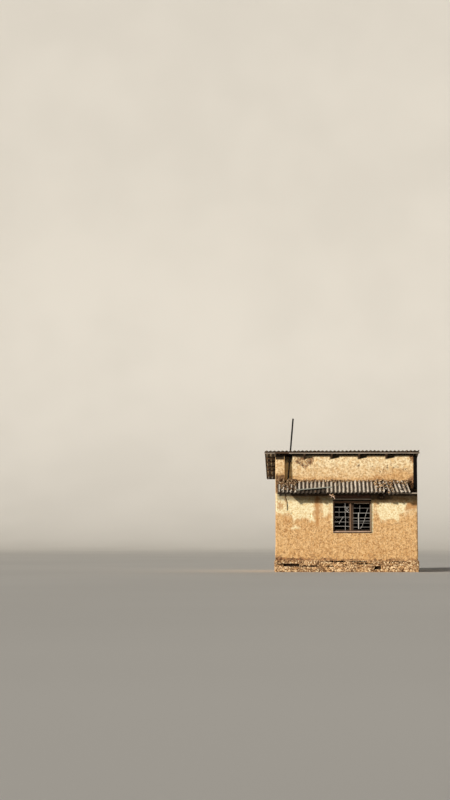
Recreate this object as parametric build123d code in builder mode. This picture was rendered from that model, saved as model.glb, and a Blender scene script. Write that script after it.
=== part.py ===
"""Adobe house with a shed roof of corrugated sheets and a sheeted canopy over its front window.

Millimetres. The origin is on the ground under the middle of the plan, +Z is up,
and the front, with the window and the canopy, faces -Y.
"""

import os
from math import ceil, cos, pi, radians, sin, tan

from build123d import *

# Plan
house_width = 5360
house_depth = 4200
wall_thickness = 400
clearance = 0.3

# Base courses and floor
base_height = 430
base_projection = 40
floor_thickness = 100

# Front window
window_left = -510
window_width = 1450
window_sill_level = 1480
window_height = 1200
sill_board_thickness = 30
sill_board_nose = 10
reveal_depth = 95
frame_depth = 90
frame_face = 45
frame_head = 70
frame_head_gap = 40
mullion_face = 130
mullion_shift = -30
sash_face = 35
sash_depth = 40
sash_setback = 12

# Timber lintels over the window and the door
lintel_gap = 20
lintel_depth = 190
lintel_bearing = 150
lintel_cover = 40

# Upper front wall, above the canopy
upper_wall_level = 3100
upper_backing = 130
pier_width = 360
slot_width = 300
notch_width = 165
post_width = 140
post_depth = 150
post_gap = 10

# Back door
door_left = -450
door_width = 900
door_head_level = 2050
door_frame_face = 60
door_leaf_thickness = 36
door_ledge_count = 3
door_ledge_depth = 24
door_ledge_height = 110
door_setback = 90
door_gap = 1

# Main roof
roof_pitch = 10
roof_height = 4435
roof_front_overhang = 230
roof_back_overhang = 190
roof_left_overhang = 385
roof_right_overhang = 45
rafter_width = 75
rafter_depth = 140
rafter_tip_depth = 45
rafter_left_margin = 1110
rafter_right_margin = 1170
rafter_count = 4
purlin_width = 60
purlin_depth = 40
fascia_thickness = 25
fascia_depth = 55
fascia_rise = 45
fascia_end = 15
fascia_gap_start = 410
fascia_gap = 520

# Corrugated sheets
wave_pitch = 150
wave_height = 40
wave_steps = 8
sheet_thickness = 6
cover_waves = 7
side_lap_waves = 0.5
sheet_length = 1750
least_end_lap = 150
lap_clearance = 0.5
sheet_nose = 35

# Canopy
canopy_pitch = 31
canopy_level = 3405
canopy_reach = 790
canopy_left_inset = 100
canopy_right_inset = 320
canopy_first_cover = 5
canopy_joist_width = 60
canopy_joist_depth = 80
canopy_joist_left_margin = 220
canopy_joist_right_margin = 330
canopy_joist_count = 6
canopy_bearing = 200
canopy_batten_width = 60
canopy_batten_depth = 40
canopy_batten_count = 3
canopy_wall_gap = 6
canopy_nose = 40
eave_batten_end = 250

# The canopy's second sheet from the left is broken across; a strip of it is left at the eave
broken_sheet = 1
break_left = 720
break_right = 560
break_dip = 15
remnant_waves = 5.5
remnant_start = 800
remnant_slant = 20

# The canopy's last sheet has slipped and lies askew, with its upper right corner at the wall
askew_waves = 5.5
askew_turn = 8
askew_gap = 10

# Service mast, a steel pipe that leans in the slot of the upper wall
mast_diameter = 60
mast_wall = 4
mast_foot_inset = 100
mast_lean = 4.8
mast_top_level = 5780
mast_standoff = 110
mast_hole_margin = 12
clamp_width = 40
clamp_thickness = 6
clamp_low_level = 3350
clamp_high_level = 4150


def whole_steps(width):
    """Waves that cover a width, to the nearest step of the drawn wave."""
    return round(width / wave_pitch * wave_steps) / wave_steps


# Derived places
front_face = -house_depth / 2
back_face = house_depth / 2
left_face = -house_width / 2
right_face = house_width / 2
front_inner = front_face + wall_thickness
back_inner = back_face - wall_thickness
left_inner = left_face + wall_thickness
right_inner = right_face - wall_thickness
window_right = window_left + window_width
window_head = window_sill_level + window_height
lintel_level = window_head + lintel_gap
lintel_top = lintel_level + lintel_depth
door_right = door_left + door_width
door_lintel_top = door_head_level + lintel_depth
roof_front = front_face - roof_front_overhang
rafter_back = back_face + roof_back_overhang
roof_left = left_face - roof_left_overhang
roof_waves = whole_steps(house_width + roof_left_overhang + roof_right_overhang)
canopy_left = left_face + canopy_left_inset
canopy_width = house_width - canopy_left_inset - canopy_right_inset
lap_lift = sheet_thickness + lap_clearance
mast_foot_x = left_face + pier_width + mast_foot_inset
mast_y = front_face + mast_standoff
panel_left = left_face + pier_width + slot_width
panel_right = right_face - notch_width
backing_face = front_inner - upper_backing


def roof_level(y):
    """Height of the rafters' top face over plan line y; the roof falls towards the back."""
    return roof_height - (y - roof_front) * tan(radians(roof_pitch))


def slab(x0, x1, y0, y1, z0, z1, mode=Mode.ADD):
    """Add a plain rectangular block between six faces to the part in hand, or cut it out."""
    with BuildSketch(Plane.XY.offset(z0)) as plan:
        with Locations(((x0 + x1) / 2, (y0 + y1) / 2)):
            Rectangle(x1 - x0, y1 - y0)
    extrude(plan.sketch, amount=z1 - z0, mode=mode)


def cut_slab(x0, x1, y0, y1, z0, z1):
    """Cut a rectangular block out of the part in hand."""
    slab(x0, x1, y0, y1, z0, z1, mode=Mode.SUBTRACT)


def wall_to_roof(x0, x1, y0, y1, z0):
    """Extrude a wall between x0 and x1 whose top face follows the roof's slope."""
    with BuildSketch(Plane.YZ.offset(x0)) as side:
        with BuildLine():
            Polyline((y0, z0), (y1, z0), (y1, roof_level(y1)), (y0, roof_level(y0)), close=True)
        make_face()
    extrude(side.sketch, amount=x1 - x0)


def rafter_profile(widen, mode):
    """Extrude every rafter, its tail thinned outside the wall; widen is the side clearance of a pocket."""
    drop = rafter_depth / cos(radians(roof_pitch))
    y0, y1 = roof_front, rafter_back
    first = left_face + rafter_left_margin
    spacing = (house_width - rafter_left_margin - rafter_right_margin) / (rafter_count - 1)
    for n in range(rafter_count):
        left = first + n * spacing - rafter_width / 2 - widen
        with BuildSketch(Plane.YZ.offset(left)) as side:
            with BuildLine():
                Polyline(
                    (y0, roof_level(y0) - rafter_tip_depth),
                    (front_face, roof_level(front_face) - drop),
                    (y1, roof_level(y1) - drop),
                    (y1, roof_level(y1)),
                    (y0, roof_level(y0)),
                    close=True,
                )
            make_face()
        extrude(side.sketch, amount=rafter_width + 2 * widen, mode=mode)


def canopy_section(x, down, turn=0):
    """Plane across the canopy's slope, `down` from the wall: local y stands off the battens' top.

    A turn in degrees swings the plane's lower side to the right, within the slope.
    """
    slope, swing = radians(canopy_pitch), radians(turn)
    origin = (x, front_face - down * cos(slope), canopy_level - down * sin(slope))
    across = (cos(swing), sin(swing) * cos(slope), sin(swing) * sin(slope))
    downward = (sin(swing), -cos(swing) * cos(slope), -cos(swing) * sin(slope))
    return Plane(origin=origin, x_dir=across, z_dir=downward)


def canopy_joist_profile(widen, mode):
    """Extrude every canopy joist, from its bearing in the wall down to the eave."""
    slope = radians(canopy_pitch)
    inside = canopy_bearing / cos(slope)
    first = left_face + canopy_joist_left_margin
    margins = canopy_joist_left_margin + canopy_joist_right_margin
    spacing = (house_width - margins) / (canopy_joist_count - 1)
    for n in range(canopy_joist_count):
        x = first + n * spacing
        with BuildSketch(canopy_section(x, -inside)) as section:
            with Locations((0, -canopy_batten_depth - canopy_joist_depth / 2)):
                Rectangle(canopy_joist_width + 2 * widen, canopy_joist_depth)
        extrude(section.sketch, amount=inside + canopy_reach / cos(slope), mode=mode)


def sheet_outline(x0, waves, lift):
    """Corners of one corrugated sheet's section from x0: a cosine wave in even straight steps."""
    steps = round(waves * wave_steps)
    run = wave_pitch / wave_steps
    under = [
        (x0 + n * run, lift + wave_height / 2 * (1 - cos(2 * pi * n / wave_steps)))
        for n in range(steps + 1)
    ]
    over = [(x, y + sheet_thickness) for x, y in reversed(under)]
    return under + over


def row_places(total_waves, first_cover):
    """First wave and width in waves of each side-lapped sheet along a row."""
    places = []
    first, cover = 0, first_cover
    while first + side_lap_waves < total_waves:
        places.append((first, min(cover + side_lap_waves, total_waves - first)))
        first, cover = first + cover, cover_waves
    return places


def lay_sheet(plane, place, number, lift, length):
    """Extrude one sheet of a row; every second one is lifted onto its neighbours."""
    first, waves = place
    outline = sheet_outline(first * wave_pitch, waves, lift + lap_lift * (number % 2))
    with BuildSketch(plane) as section:
        with BuildLine():
            Polyline(*outline, close=True)
        make_face()
    extrude(section.sketch, amount=length)


def finish(made, name):
    """Label a finished piece and write it to its own file."""
    made.part.label = name
    export_step(made.part, f"parts/{name}.step")


def build_base():
    """Exposed base courses under the walls, with a gap for the back door."""
    out = base_projection
    with BuildPart() as base_front:
        slab(left_face - out, right_face + out, front_face - out, front_inner, 0, base_height)
    finish(base_front, "base_front")
    with BuildPart() as base_left:
        slab(left_face - out, left_inner, front_inner, back_inner, 0, base_height)
    finish(base_left, "base_left")
    with BuildPart() as base_right:
        slab(right_inner, right_face + out, front_inner, back_inner, 0, base_height)
    finish(base_right, "base_right")
    with BuildPart() as base_back_left:
        slab(left_face - out, door_left, back_inner, back_face + out, 0, base_height)
    finish(base_back_left, "base_back_left")
    with BuildPart() as base_back_right:
        slab(door_right, right_face + out, back_inner, back_face + out, 0, base_height)
    finish(base_back_right, "base_back_right")


def build_floor():
    """Beaten earth floor inside the walls and the threshold in the doorway."""
    with BuildPart() as floor_slab:
        slab(left_inner, right_inner, front_inner, back_inner, 0, floor_thickness)
    finish(floor_slab, "floor_slab")
    with BuildPart() as door_threshold:
        slab(door_left, door_right, back_inner, back_face + base_projection, 0, floor_thickness)
    finish(door_threshold, "door_threshold")


def build_lower_front():
    """Lower front wall in plain pieces round the window, with seats for the lintel's ends."""
    seat_front = front_face + lintel_cover
    with BuildPart() as front_wall_left:
        slab(left_face, window_left, front_face, front_inner, base_height, lintel_top)
        cut_slab(
            window_left - lintel_bearing, window_left, seat_front, front_inner, lintel_level, lintel_top
        )
    finish(front_wall_left, "front_wall_left")
    with BuildPart() as front_wall_right:
        slab(window_right, right_face, front_face, front_inner, base_height, lintel_top)
        cut_slab(
            window_right, window_right + lintel_bearing, seat_front, front_inner, lintel_level, lintel_top
        )
    finish(front_wall_right, "front_wall_right")
    with BuildPart() as front_wall_below_window:
        slab(window_left, window_right, front_face, front_inner, base_height, window_sill_level)
    finish(front_wall_below_window, "front_wall_below_window")
    with BuildPart() as front_wall_band:
        slab(left_face, right_face, front_face, front_inner, lintel_top, upper_wall_level)
    finish(front_wall_band, "front_wall_band")


def build_upper_front():
    """Upper front wall: a thin backing behind a corner pier, the mast's slot, the panel and a notch."""
    with BuildPart() as upper_wall_backing:
        wall_to_roof(left_face, right_face, backing_face, front_inner, upper_wall_level)
        rafter_profile(clearance, Mode.SUBTRACT)
    finish(upper_wall_backing, "upper_wall_backing")
    with BuildPart() as upper_wall_pier:
        wall_to_roof(left_face, left_face + pier_width, front_face, backing_face, upper_wall_level)
        canopy_joist_profile(clearance, Mode.SUBTRACT)
    finish(upper_wall_pier, "upper_wall_pier")
    with BuildPart() as upper_wall_panel:
        wall_to_roof(panel_left, panel_right, front_face, backing_face, upper_wall_level)
        rafter_profile(clearance, Mode.SUBTRACT)
        canopy_joist_profile(clearance, Mode.SUBTRACT)
    finish(upper_wall_panel, "upper_wall_panel")
    post_left = panel_right + post_gap
    post_front = front_face + post_gap
    with BuildPart() as corner_post:
        wall_to_roof(
            post_left, post_left + post_width, post_front, post_front + post_depth, upper_wall_level
        )
    finish(corner_post, "corner_post")


def build_side_walls():
    """Side walls between the front and back walls, with tops that fall with the roof."""
    with BuildPart() as left_wall:
        wall_to_roof(left_face, left_inner, front_inner, back_inner, base_height)
    finish(left_wall, "left_wall")
    with BuildPart() as right_wall:
        wall_to_roof(right_inner, right_face, front_inner, back_inner, base_height)
    finish(right_wall, "right_wall")


def build_back_wall():
    """Back wall in pieces round the doorway, with pockets for the rafters and the lintel's seats."""
    seat_back = back_face - lintel_cover
    with BuildPart() as back_wall_left:
        wall_to_roof(left_face, door_left, back_inner, back_face, base_height)
        rafter_profile(clearance, Mode.SUBTRACT)
        cut_slab(
            door_left - lintel_bearing, door_left, back_inner, seat_back, door_head_level, door_lintel_top
        )
    finish(back_wall_left, "back_wall_left")
    with BuildPart() as back_wall_right:
        wall_to_roof(door_right, right_face, back_inner, back_face, base_height)
        rafter_profile(clearance, Mode.SUBTRACT)
        cut_slab(
            door_right, door_right + lintel_bearing, back_inner, seat_back, door_head_level, door_lintel_top
        )
    finish(back_wall_right, "back_wall_right")
    with BuildPart() as back_wall_above_door:
        wall_to_roof(door_left, door_right, back_inner, back_face, door_lintel_top)
        rafter_profile(clearance, Mode.SUBTRACT)
    finish(back_wall_above_door, "back_wall_above_door")


def build_lintels():
    """Timber lintels, set back from the plaster face and borne at both ends."""
    with BuildPart() as window_lintel:
        slab(
            window_left - lintel_bearing, window_right + lintel_bearing,
            front_face + lintel_cover, front_inner, lintel_level, lintel_top,
        )
    finish(window_lintel, "window_lintel")
    with BuildPart() as door_lintel:
        slab(
            door_left - lintel_bearing, door_right + lintel_bearing,
            back_inner, back_face - lintel_cover, door_head_level, door_lintel_top,
        )
    finish(door_lintel, "door_lintel")


def build_window():
    """Window frame with a wide mullion, two sashes and the sill board under them."""
    frame_front = front_face + reveal_depth
    frame_back = frame_front + frame_depth
    frame_bottom = window_sill_level + sill_board_thickness
    frame_top = lintel_level - frame_head_gap
    middle = (window_left + window_right) / 2 + mullion_shift
    lights = (
        (window_left + frame_face, middle - mullion_face / 2),
        (middle + mullion_face / 2, window_right - frame_face),
    )
    light_bottom, light_top = frame_bottom + frame_face, frame_top - frame_head
    with BuildPart() as window_frame:
        slab(window_left, window_right, frame_front, frame_back, frame_bottom, frame_top)
        for light_left, light_right in lights:
            cut_slab(light_left, light_right, frame_front, frame_back, light_bottom, light_top)
    finish(window_frame, "window_frame")
    sash_front = frame_front + sash_setback
    for name, (light_left, light_right) in zip(("window_sash_left", "window_sash_right"), lights):
        x0, x1 = light_left + clearance, light_right - clearance
        z0, z1 = light_bottom + clearance, light_top - clearance
        with BuildPart() as window_sash:
            slab(x0, x1, sash_front, sash_front + sash_depth, z0, z1)
            cut_slab(
                x0 + sash_face, x1 - sash_face, sash_front, sash_front + sash_depth,
                z0 + sash_face, z1 - sash_face,
            )
        finish(window_sash, name)
    with BuildPart() as window_sill:
        slab(
            window_left, window_right, front_face - sill_board_nose, frame_back,
            window_sill_level, frame_bottom,
        )
    finish(window_sill, "window_sill")


def build_door():
    """Back door: a frame with a head and two jambs, and a ledged plank leaf."""
    frame_back = back_face - door_setback
    frame_near = frame_back - frame_depth
    leaf_left, leaf_right = door_left + door_frame_face, door_right - door_frame_face
    leaf_top = door_head_level - door_frame_face
    with BuildPart() as door_frame:
        slab(door_left, door_right, frame_near, frame_back, floor_thickness, door_head_level)
        cut_slab(leaf_left, leaf_right, frame_near, frame_back, floor_thickness, leaf_top)
    finish(door_frame, "door_frame")
    leaf_face = frame_back - clearance
    leaf_near = leaf_face - door_leaf_thickness
    with BuildPart() as door_leaf:
        slab(
            leaf_left + door_gap, leaf_right - door_gap, leaf_near, leaf_face,
            floor_thickness + clearance, leaf_top - door_gap,
        )
        spacing = (leaf_top - floor_thickness) / door_ledge_count
        for n in range(door_ledge_count):
            level = floor_thickness + (n + 0.5) * spacing
            slab(
                leaf_left + door_frame_face, leaf_right - door_frame_face, leaf_near - door_ledge_depth,
                leaf_near, level - door_ledge_height / 2, level + door_ledge_height / 2,
            )
    finish(door_leaf, "door_leaf")


def build_roof_frame():
    """Rafters, the purlins that carry the sheets, and the fascia on the rafters' front ends."""
    slope = radians(roof_pitch)
    with BuildPart() as roof_rafters:
        rafter_profile(0, Mode.ADD)
    finish(roof_rafters, "roof_rafters")
    length = roof_waves * wave_pitch - 2 * fascia_end
    with BuildPart() as roof_purlins:
        for along, lift in purlin_stations():
            y, z = roof_front + along * cos(slope), roof_height - along * sin(slope)
            origin = (roof_left + fascia_end, y, z)
            down_slope = Plane(origin=origin, x_dir=(0, cos(slope), -sin(slope)), z_dir=(1, 0, 0))
            with BuildSketch(down_slope):
                Rectangle(purlin_width, purlin_depth + lift, align=(Align.CENTER, Align.MIN))
            extrude(amount=length)
    finish(roof_purlins, "roof_purlins")
    top = roof_height + fascia_rise
    fascia_left = roof_left - fascia_end
    fascia_right = roof_left + roof_waves * wave_pitch + fascia_end
    gap_left = fascia_left + fascia_gap_start
    with BuildPart() as fascia_board:
        for x0, x1 in ((fascia_left, gap_left), (gap_left + fascia_gap, fascia_right)):
            slab(x0, x1, roof_front - fascia_thickness, roof_front, top - fascia_depth, top)
    finish(fascia_board, "fascia_board")


def roof_courses():
    """Number of sheet courses that cover the slope, and the distance between their upper ends."""
    run = (rafter_back - roof_front) / cos(radians(roof_pitch)) + fascia_thickness + 2 * sheet_nose
    count = ceil((run - least_end_lap) / (sheet_length - least_end_lap))
    return count, (run - sheet_length) / (count - 1)


def course_lift(course):
    """Height that a course stands off the purlins' lowest top; course 0 is the lowest one."""
    return 2 * lap_lift * course


def course_start(course):
    """Distance down the slope from the rafters' front ends to a course's upper end."""
    count, gauge = roof_courses()
    return (count - 1 - course) * gauge - fascia_thickness - sheet_nose


def purlin_stations():
    """Distances of the purlins down the slope, with the lift of the course that each carries."""
    count, gauge = roof_courses()
    end_lap = sheet_length - gauge
    stations = []
    for course in range(count):
        start = course_start(course)
        top_edge = purlin_width / 2 if course == count - 1 else start + end_lap / 2
        stations.append((top_edge, course_lift(course)))
        stations.append((start + (sheet_length + end_lap) / 2, course_lift(course)))
    lowest = course_start(0) + sheet_length - purlin_width - sheet_nose
    stations.append((lowest, course_lift(0)))
    return stations


def build_roof_sheets():
    """Courses of lapped sheets, numbered from the top one, which has the hole for the mast."""
    slope = radians(roof_pitch)
    count = roof_courses()[0]
    for course in range(count):
        along = course_start(course) + sheet_length
        origin = (roof_left, roof_front + along * cos(slope), roof_height - along * sin(slope))
        across = Plane(origin=origin, x_dir=(1, 0, 0), z_dir=(0, -cos(slope), sin(slope)))
        with BuildPart() as roof_sheets:
            for number, place in enumerate(row_places(roof_waves, cover_waves)):
                lay_sheet(across, place, number, purlin_depth + course_lift(course), sheet_length)
            if course == count - 1:
                mast_bore()
        finish(roof_sheets, f"roof_sheets_{count - course}")


def build_canopy():
    """Joists built into the wall, battens across them and a row of lapped sheets."""
    slope = radians(canopy_pitch)
    with BuildPart() as canopy_joists:
        canopy_joist_profile(0, Mode.ADD)
    finish(canopy_joists, "canopy_joists")
    first = (canopy_wall_gap + canopy_batten_depth * sin(slope)) / cos(slope) + canopy_batten_width / 2
    last = canopy_reach / cos(slope) - canopy_batten_width / 2
    step = (last - first) / (canopy_batten_count - 1)
    with BuildPart() as canopy_battens:
        for n in range(canopy_batten_count):
            end = eave_batten_end if n == canopy_batten_count - 1 else 0
            with BuildSketch(canopy_section(canopy_left, first + n * step - canopy_batten_width / 2)):
                Rectangle(canopy_width + end, canopy_batten_depth, align=(Align.MIN, Align.MAX))
            extrude(amount=canopy_batten_width)
    finish(canopy_battens, "canopy_battens")
    start = canopy_wall_gap / cos(slope)
    length = canopy_reach / cos(slope) + canopy_nose - start
    top_edge = canopy_section(canopy_left, start)
    swing, askew_width = radians(askew_turn), askew_waves * wave_pitch
    askew_left = canopy_left + canopy_width - length * sin(swing) - askew_width * cos(swing)
    places = row_places(whole_steps(askew_left - askew_gap - canopy_left), canopy_first_cover)
    with BuildPart() as canopy_sheets:
        for number, place in enumerate(places):
            if number != broken_sheet:
                lay_sheet(top_edge, place, number, 0, length)
    finish(canopy_sheets, "canopy_sheets")
    with BuildPart() as canopy_broken_sheet:
        lay_sheet(top_edge, places[broken_sheet], broken_sheet, 0, length)
        break_across(places[broken_sheet], start + length)
    finish(canopy_broken_sheet, "canopy_broken_sheet")
    with BuildPart() as canopy_askew_sheet:
        slipped = canopy_section(askew_left, start + askew_width * sin(swing), askew_turn)
        lay_sheet(slipped, (0, askew_waves), 0, 0, length)
    finish(canopy_askew_sheet, "canopy_askew_sheet")


def break_across(place, eave):
    """Cut away what has fallen out of a canopy sheet, between its crack and the strip at the eave."""
    slope = radians(canopy_pitch)
    first, waves = place
    left, right = first * wave_pitch, (first + waves) * wave_pitch
    middle = (left + right) / 2
    remnant_right = left + remnant_waves * wave_pitch
    beyond = wave_pitch
    crack_middle = (break_left + break_right) / 2 + break_dip
    origin = (canopy_left, front_face, canopy_level)
    with BuildSketch(Plane(origin=origin, x_dir=(1, 0, 0), z_dir=(0, -sin(slope), cos(slope)))) as fallen:
        with BuildLine():
            Polyline(
                (left - beyond, -break_left),
                (middle, -crack_middle),
                (right + beyond, -break_right),
                (right + beyond, -eave - beyond),
                (remnant_right, -eave - beyond),
                (remnant_right, -remnant_start - remnant_slant),
                (left - beyond, -remnant_start),
                close=True,
            )
        make_face()
    extrude(fallen.sketch, amount=2 * wave_height, both=True, mode=Mode.SUBTRACT)


def mast_axis():
    """Foot, direction and length of the mast's axis; it leans to the right as it rises."""
    foot = Vector(mast_foot_x, mast_y, upper_wall_level)
    direction = Vector(sin(radians(mast_lean)), 0, cos(radians(mast_lean)))
    return foot, direction, (mast_top_level - upper_wall_level) / direction.Z


def mast_bore():
    """Cut the mast's hole, with its margin, through the part in hand."""
    foot, direction, length = mast_axis()
    with BuildSketch(Plane(origin=foot, z_dir=direction)) as hole:
        Circle(mast_diameter / 2 + mast_hole_margin)
    extrude(hole.sketch, amount=length, mode=Mode.SUBTRACT)


def build_mast():
    """Leaning pipe on the wall band, capped at its top, and the straps that hold it in the slot."""
    foot, direction, length = mast_axis()
    below = foot - direction * mast_diameter
    with BuildPart() as service_mast:
        with BuildSketch(Plane(origin=below, z_dir=direction)):
            Circle(mast_diameter / 2)
            Circle(mast_diameter / 2 - mast_wall, mode=Mode.SUBTRACT)
        extrude(amount=length + mast_diameter)
        with BuildSketch(Plane(origin=foot + direction * (length - mast_wall), z_dir=direction)):
            Circle(mast_diameter / 2)
        extrude(amount=mast_wall)
        split(bisect_by=Plane.XY.offset(upper_wall_level), keep=Keep.TOP)
    finish(service_mast, "service_mast")
    ring = mast_diameter / 2 + clearance
    stem = backing_face - mast_y
    with BuildPart() as mast_clamps:
        for level in (clamp_low_level, clamp_high_level):
            centre = foot + direction * ((level - upper_wall_level) / direction.Z)
            with BuildSketch(Plane(origin=centre, x_dir=(0, 1, 0), z_dir=direction)):
                Circle(ring + clamp_thickness)
                with Locations((stem / 2, 0)):
                    Rectangle(stem, clamp_thickness)
                Circle(ring, mode=Mode.SUBTRACT)
            extrude(amount=clamp_width / 2, both=True)
    finish(mast_clamps, "mast_clamps")


os.makedirs("parts", exist_ok=True)
build_base()
build_floor()
build_lower_front()
build_upper_front()
build_side_walls()
build_back_wall()
build_lintels()
build_window()
build_door()
build_roof_frame()
build_roof_sheets()
build_canopy()
build_mast()
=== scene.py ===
"""Adobe house: weathered earth walls, a corrugated roof and canopy, a barred timber window.

The scene dresses the solids in metres and in their own frame: the front faces -Y.
"""

from math import atan, cos, pi, radians, sin, tan

import bpy
import numpy as np
from mathutils import Matrix, Vector


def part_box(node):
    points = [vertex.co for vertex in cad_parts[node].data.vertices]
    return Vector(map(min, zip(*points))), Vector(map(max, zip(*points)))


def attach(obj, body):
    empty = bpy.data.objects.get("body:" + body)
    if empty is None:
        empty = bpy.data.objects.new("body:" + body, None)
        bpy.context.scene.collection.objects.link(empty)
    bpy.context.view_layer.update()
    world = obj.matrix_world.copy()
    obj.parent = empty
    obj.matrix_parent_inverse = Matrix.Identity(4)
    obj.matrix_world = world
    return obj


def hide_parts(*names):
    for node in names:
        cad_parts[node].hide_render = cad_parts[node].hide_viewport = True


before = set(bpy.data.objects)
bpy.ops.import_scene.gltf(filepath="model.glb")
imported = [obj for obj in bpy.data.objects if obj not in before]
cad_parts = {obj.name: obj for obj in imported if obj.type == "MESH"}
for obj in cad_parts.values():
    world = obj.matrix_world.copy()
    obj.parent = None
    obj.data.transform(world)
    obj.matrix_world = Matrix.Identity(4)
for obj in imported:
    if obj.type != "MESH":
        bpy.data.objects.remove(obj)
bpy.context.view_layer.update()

# Places read from the solids
(LEFT_X, FRONT_Y, BASE_TOP), (_, INNER_Y, _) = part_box("front_wall_left")
RIGHT_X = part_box("front_wall_right")[1][0]
BACK_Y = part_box("back_wall_left")[1][1]
WALL = INNER_Y - FRONT_Y
(WINDOW_LEFT, FRAME_Y, _), (WINDOW_RIGHT, _, _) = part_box("window_frame")
WINDOW_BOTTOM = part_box("window_sill")[0][2]
LINTEL_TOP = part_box("window_lintel")[1][2]
(PANEL_LEFT, _, UPPER_LEVEL), (PANEL_RIGHT, _, WALL_TOP_FRONT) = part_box("upper_wall_panel")
PIER_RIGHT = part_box("upper_wall_pier")[1][0]
RECESS_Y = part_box("upper_wall_backing")[0][1]
DOOR_LEFT, DOOR_RIGHT = (corner[0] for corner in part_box("door_frame"))
BASE_OUT = LEFT_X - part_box("base_left")[0][0]
JOISTS_LEFT, JOISTS_RIGHT = (corner[0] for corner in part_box("canopy_joists"))
ROOF_SHEETS_LEFT, ROOF_SHEETS_RIGHT = (corner[0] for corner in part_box("roof_sheets_1"))

# Slopes and corrugated sheets
ROOF_PITCH = radians(10)
CANOPY_PITCH = radians(31)
CANOPY_LEVEL = 3.405
WAVE = 0.150
WAVE_HEIGHT = 0.040
SHEET = 0.006
LAP_LIFT = 0.0065
COVER_WAVES = 7
SIDE_LAP = 0.5
SHEET_LENGTH = 1.750
ROOF_EAVE = 0.060
PURLIN = 0.040


# Arithmetic of rough surfaces


def lattice(ix, iy, iz, seed):
    """Hash of whole-number lattice points to values from 0 to 1."""
    h = (ix * 374761393 + iy * 668265263 + iz * 1440670441 + seed * 974634777) & 0xFFFFFFFF
    h = ((h ^ (h >> 13)) * 1274126177) & 0xFFFFFFFF
    return (h ^ (h >> 16)) / 4294967296.0


def noise(points, size, seed):
    """Value noise from -1 to 1: lattice values `size` apart, blended by 3t^2 - 2t^3 on each axis."""
    q = np.asarray(points, dtype=float) / size
    cell = np.floor(q).astype(np.int64)
    t = q - cell
    t = t * t * (3 - 2 * t)
    total = 0
    for corner in range(8):
        at = [corner >> axis & 1 for axis in range(3)]
        x, y, z = (t[..., axis] if at[axis] else 1 - t[..., axis] for axis in range(3))
        total = total + x * y * z * lattice(*(cell[..., axis] + at[axis] for axis in range(3)), seed)
    return 2 * total - 1


def rough(points, size, seed, octaves=3):
    """Sum of noises, each half the size and height of the one before, scaled to about -1 to 1."""
    total = sum(noise(points, size / 2**n, seed + 31 * n) / 2**n for n in range(octaves))
    return total / (2 - 2 ** (1 - octaves))


def smooth(low, high, value):
    """0 at low, 1 at high, and 3t^2 - 2t^3 between."""
    t = np.clip((value - low) / (high - low), 0, 1)
    return t * t * (3 - 2 * t)


def stations(step, *marks):
    """Grid lines through all the marks, each gap divided evenly at about the step."""
    lines = [np.array(marks[:1])]
    for a, b in zip(marks[:-1], marks[1:]):
        lines.append(np.linspace(a, b, max(1, round((b - a) / step)) + 1)[1:])
    return np.concatenate(lines)


def middles(lines):
    """Places halfway between grid lines."""
    return (lines[:-1] + lines[1:]) / 2


def inside(points, outline):
    """Signed distance from an outline drawn in the wall's x and z: positive inside it."""
    p = np.stack([points[..., 0], points[..., 2]], axis=-1)[..., None, :]
    a = np.array(outline, dtype=float)
    edge = np.roll(a, -1, axis=0) - a
    out = p - a
    t = np.clip((out * edge).sum(axis=-1) / (edge * edge).sum(axis=-1), 0, 1)
    gap = np.linalg.norm(out - t[..., None] * edge, axis=-1).min(axis=-1)
    level = (out[..., 1] < 0) != (out[..., 1] < edge[:, 1])
    rise = np.where(edge[:, 1] == 0, 1, edge[:, 1])
    crossings = (level & (out[..., 0] < out[..., 1] * edge[:, 0] / rise)).sum(axis=-1)
    return np.where(crossings % 2 == 1, gap, -gap)


def any_of(points, outlines):
    """Greatest of the signed distances from several outlines."""
    return np.maximum.reduce([inside(points, outline) for outline in outlines])


def near_line(points, line):
    """Distance in the wall's x and z from a line of points."""
    p = np.stack([points[..., 0], points[..., 2]], axis=-1)
    best = np.full(p.shape[:-1], 9.0)
    for a, b in zip(np.array(line[:-1]), np.array(line[1:])):
        t = np.clip(((p - a) * (b - a)).sum(axis=-1) / ((b - a) ** 2).sum(), 0, 1)
        best = np.minimum(best, np.linalg.norm(p - a - t[..., None] * (b - a), axis=-1))
    return best


# Mesh building


def put_mesh(name, points, faces, attributes=None, sharp=50):
    """Mesh object from points and arrays of faces, with float or vector point attributes."""
    faces = [f for f in faces if len(f)]
    used = np.unique(np.concatenate([f.ravel() for f in faces]))
    fresh = np.full(len(points), -1)
    fresh[used] = np.arange(len(used))
    points = np.asarray(points)[used]
    loops = np.concatenate([fresh[f].ravel() for f in faces])
    sizes = np.concatenate([np.full(len(f), f.shape[1]) for f in faces])
    starts = np.concatenate([[0], np.cumsum(sizes)[:-1]])
    mesh = bpy.data.meshes.new(name)
    mesh.vertices.add(len(points))
    mesh.vertices.foreach_set("co", points.astype(np.float32).ravel())
    mesh.loops.add(len(loops))
    mesh.loops.foreach_set("vertex_index", loops.astype(np.int32))
    mesh.polygons.add(len(sizes))
    mesh.polygons.foreach_set("loop_start", starts.astype(np.int32))
    mesh.update(calc_edges=True)
    mesh.validate()
    mesh.polygons.foreach_set("use_smooth", np.ones(len(mesh.polygons), dtype=bool))
    mesh.set_sharp_from_angle(angle=radians(sharp))
    for key, values in (attributes or {}).items():
        values = np.asarray(values, dtype=np.float32)
        kind, field = ("FLOAT", "value") if values.ndim == 1 else ("FLOAT_VECTOR", "vector")
        layer = mesh.attributes.new(key, kind, "POINT")
        layer.data.foreach_set(field, values[used].ravel())
    piece = bpy.data.objects.new(name, mesh)
    bpy.context.scene.collection.objects.link(piece)
    return piece


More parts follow.
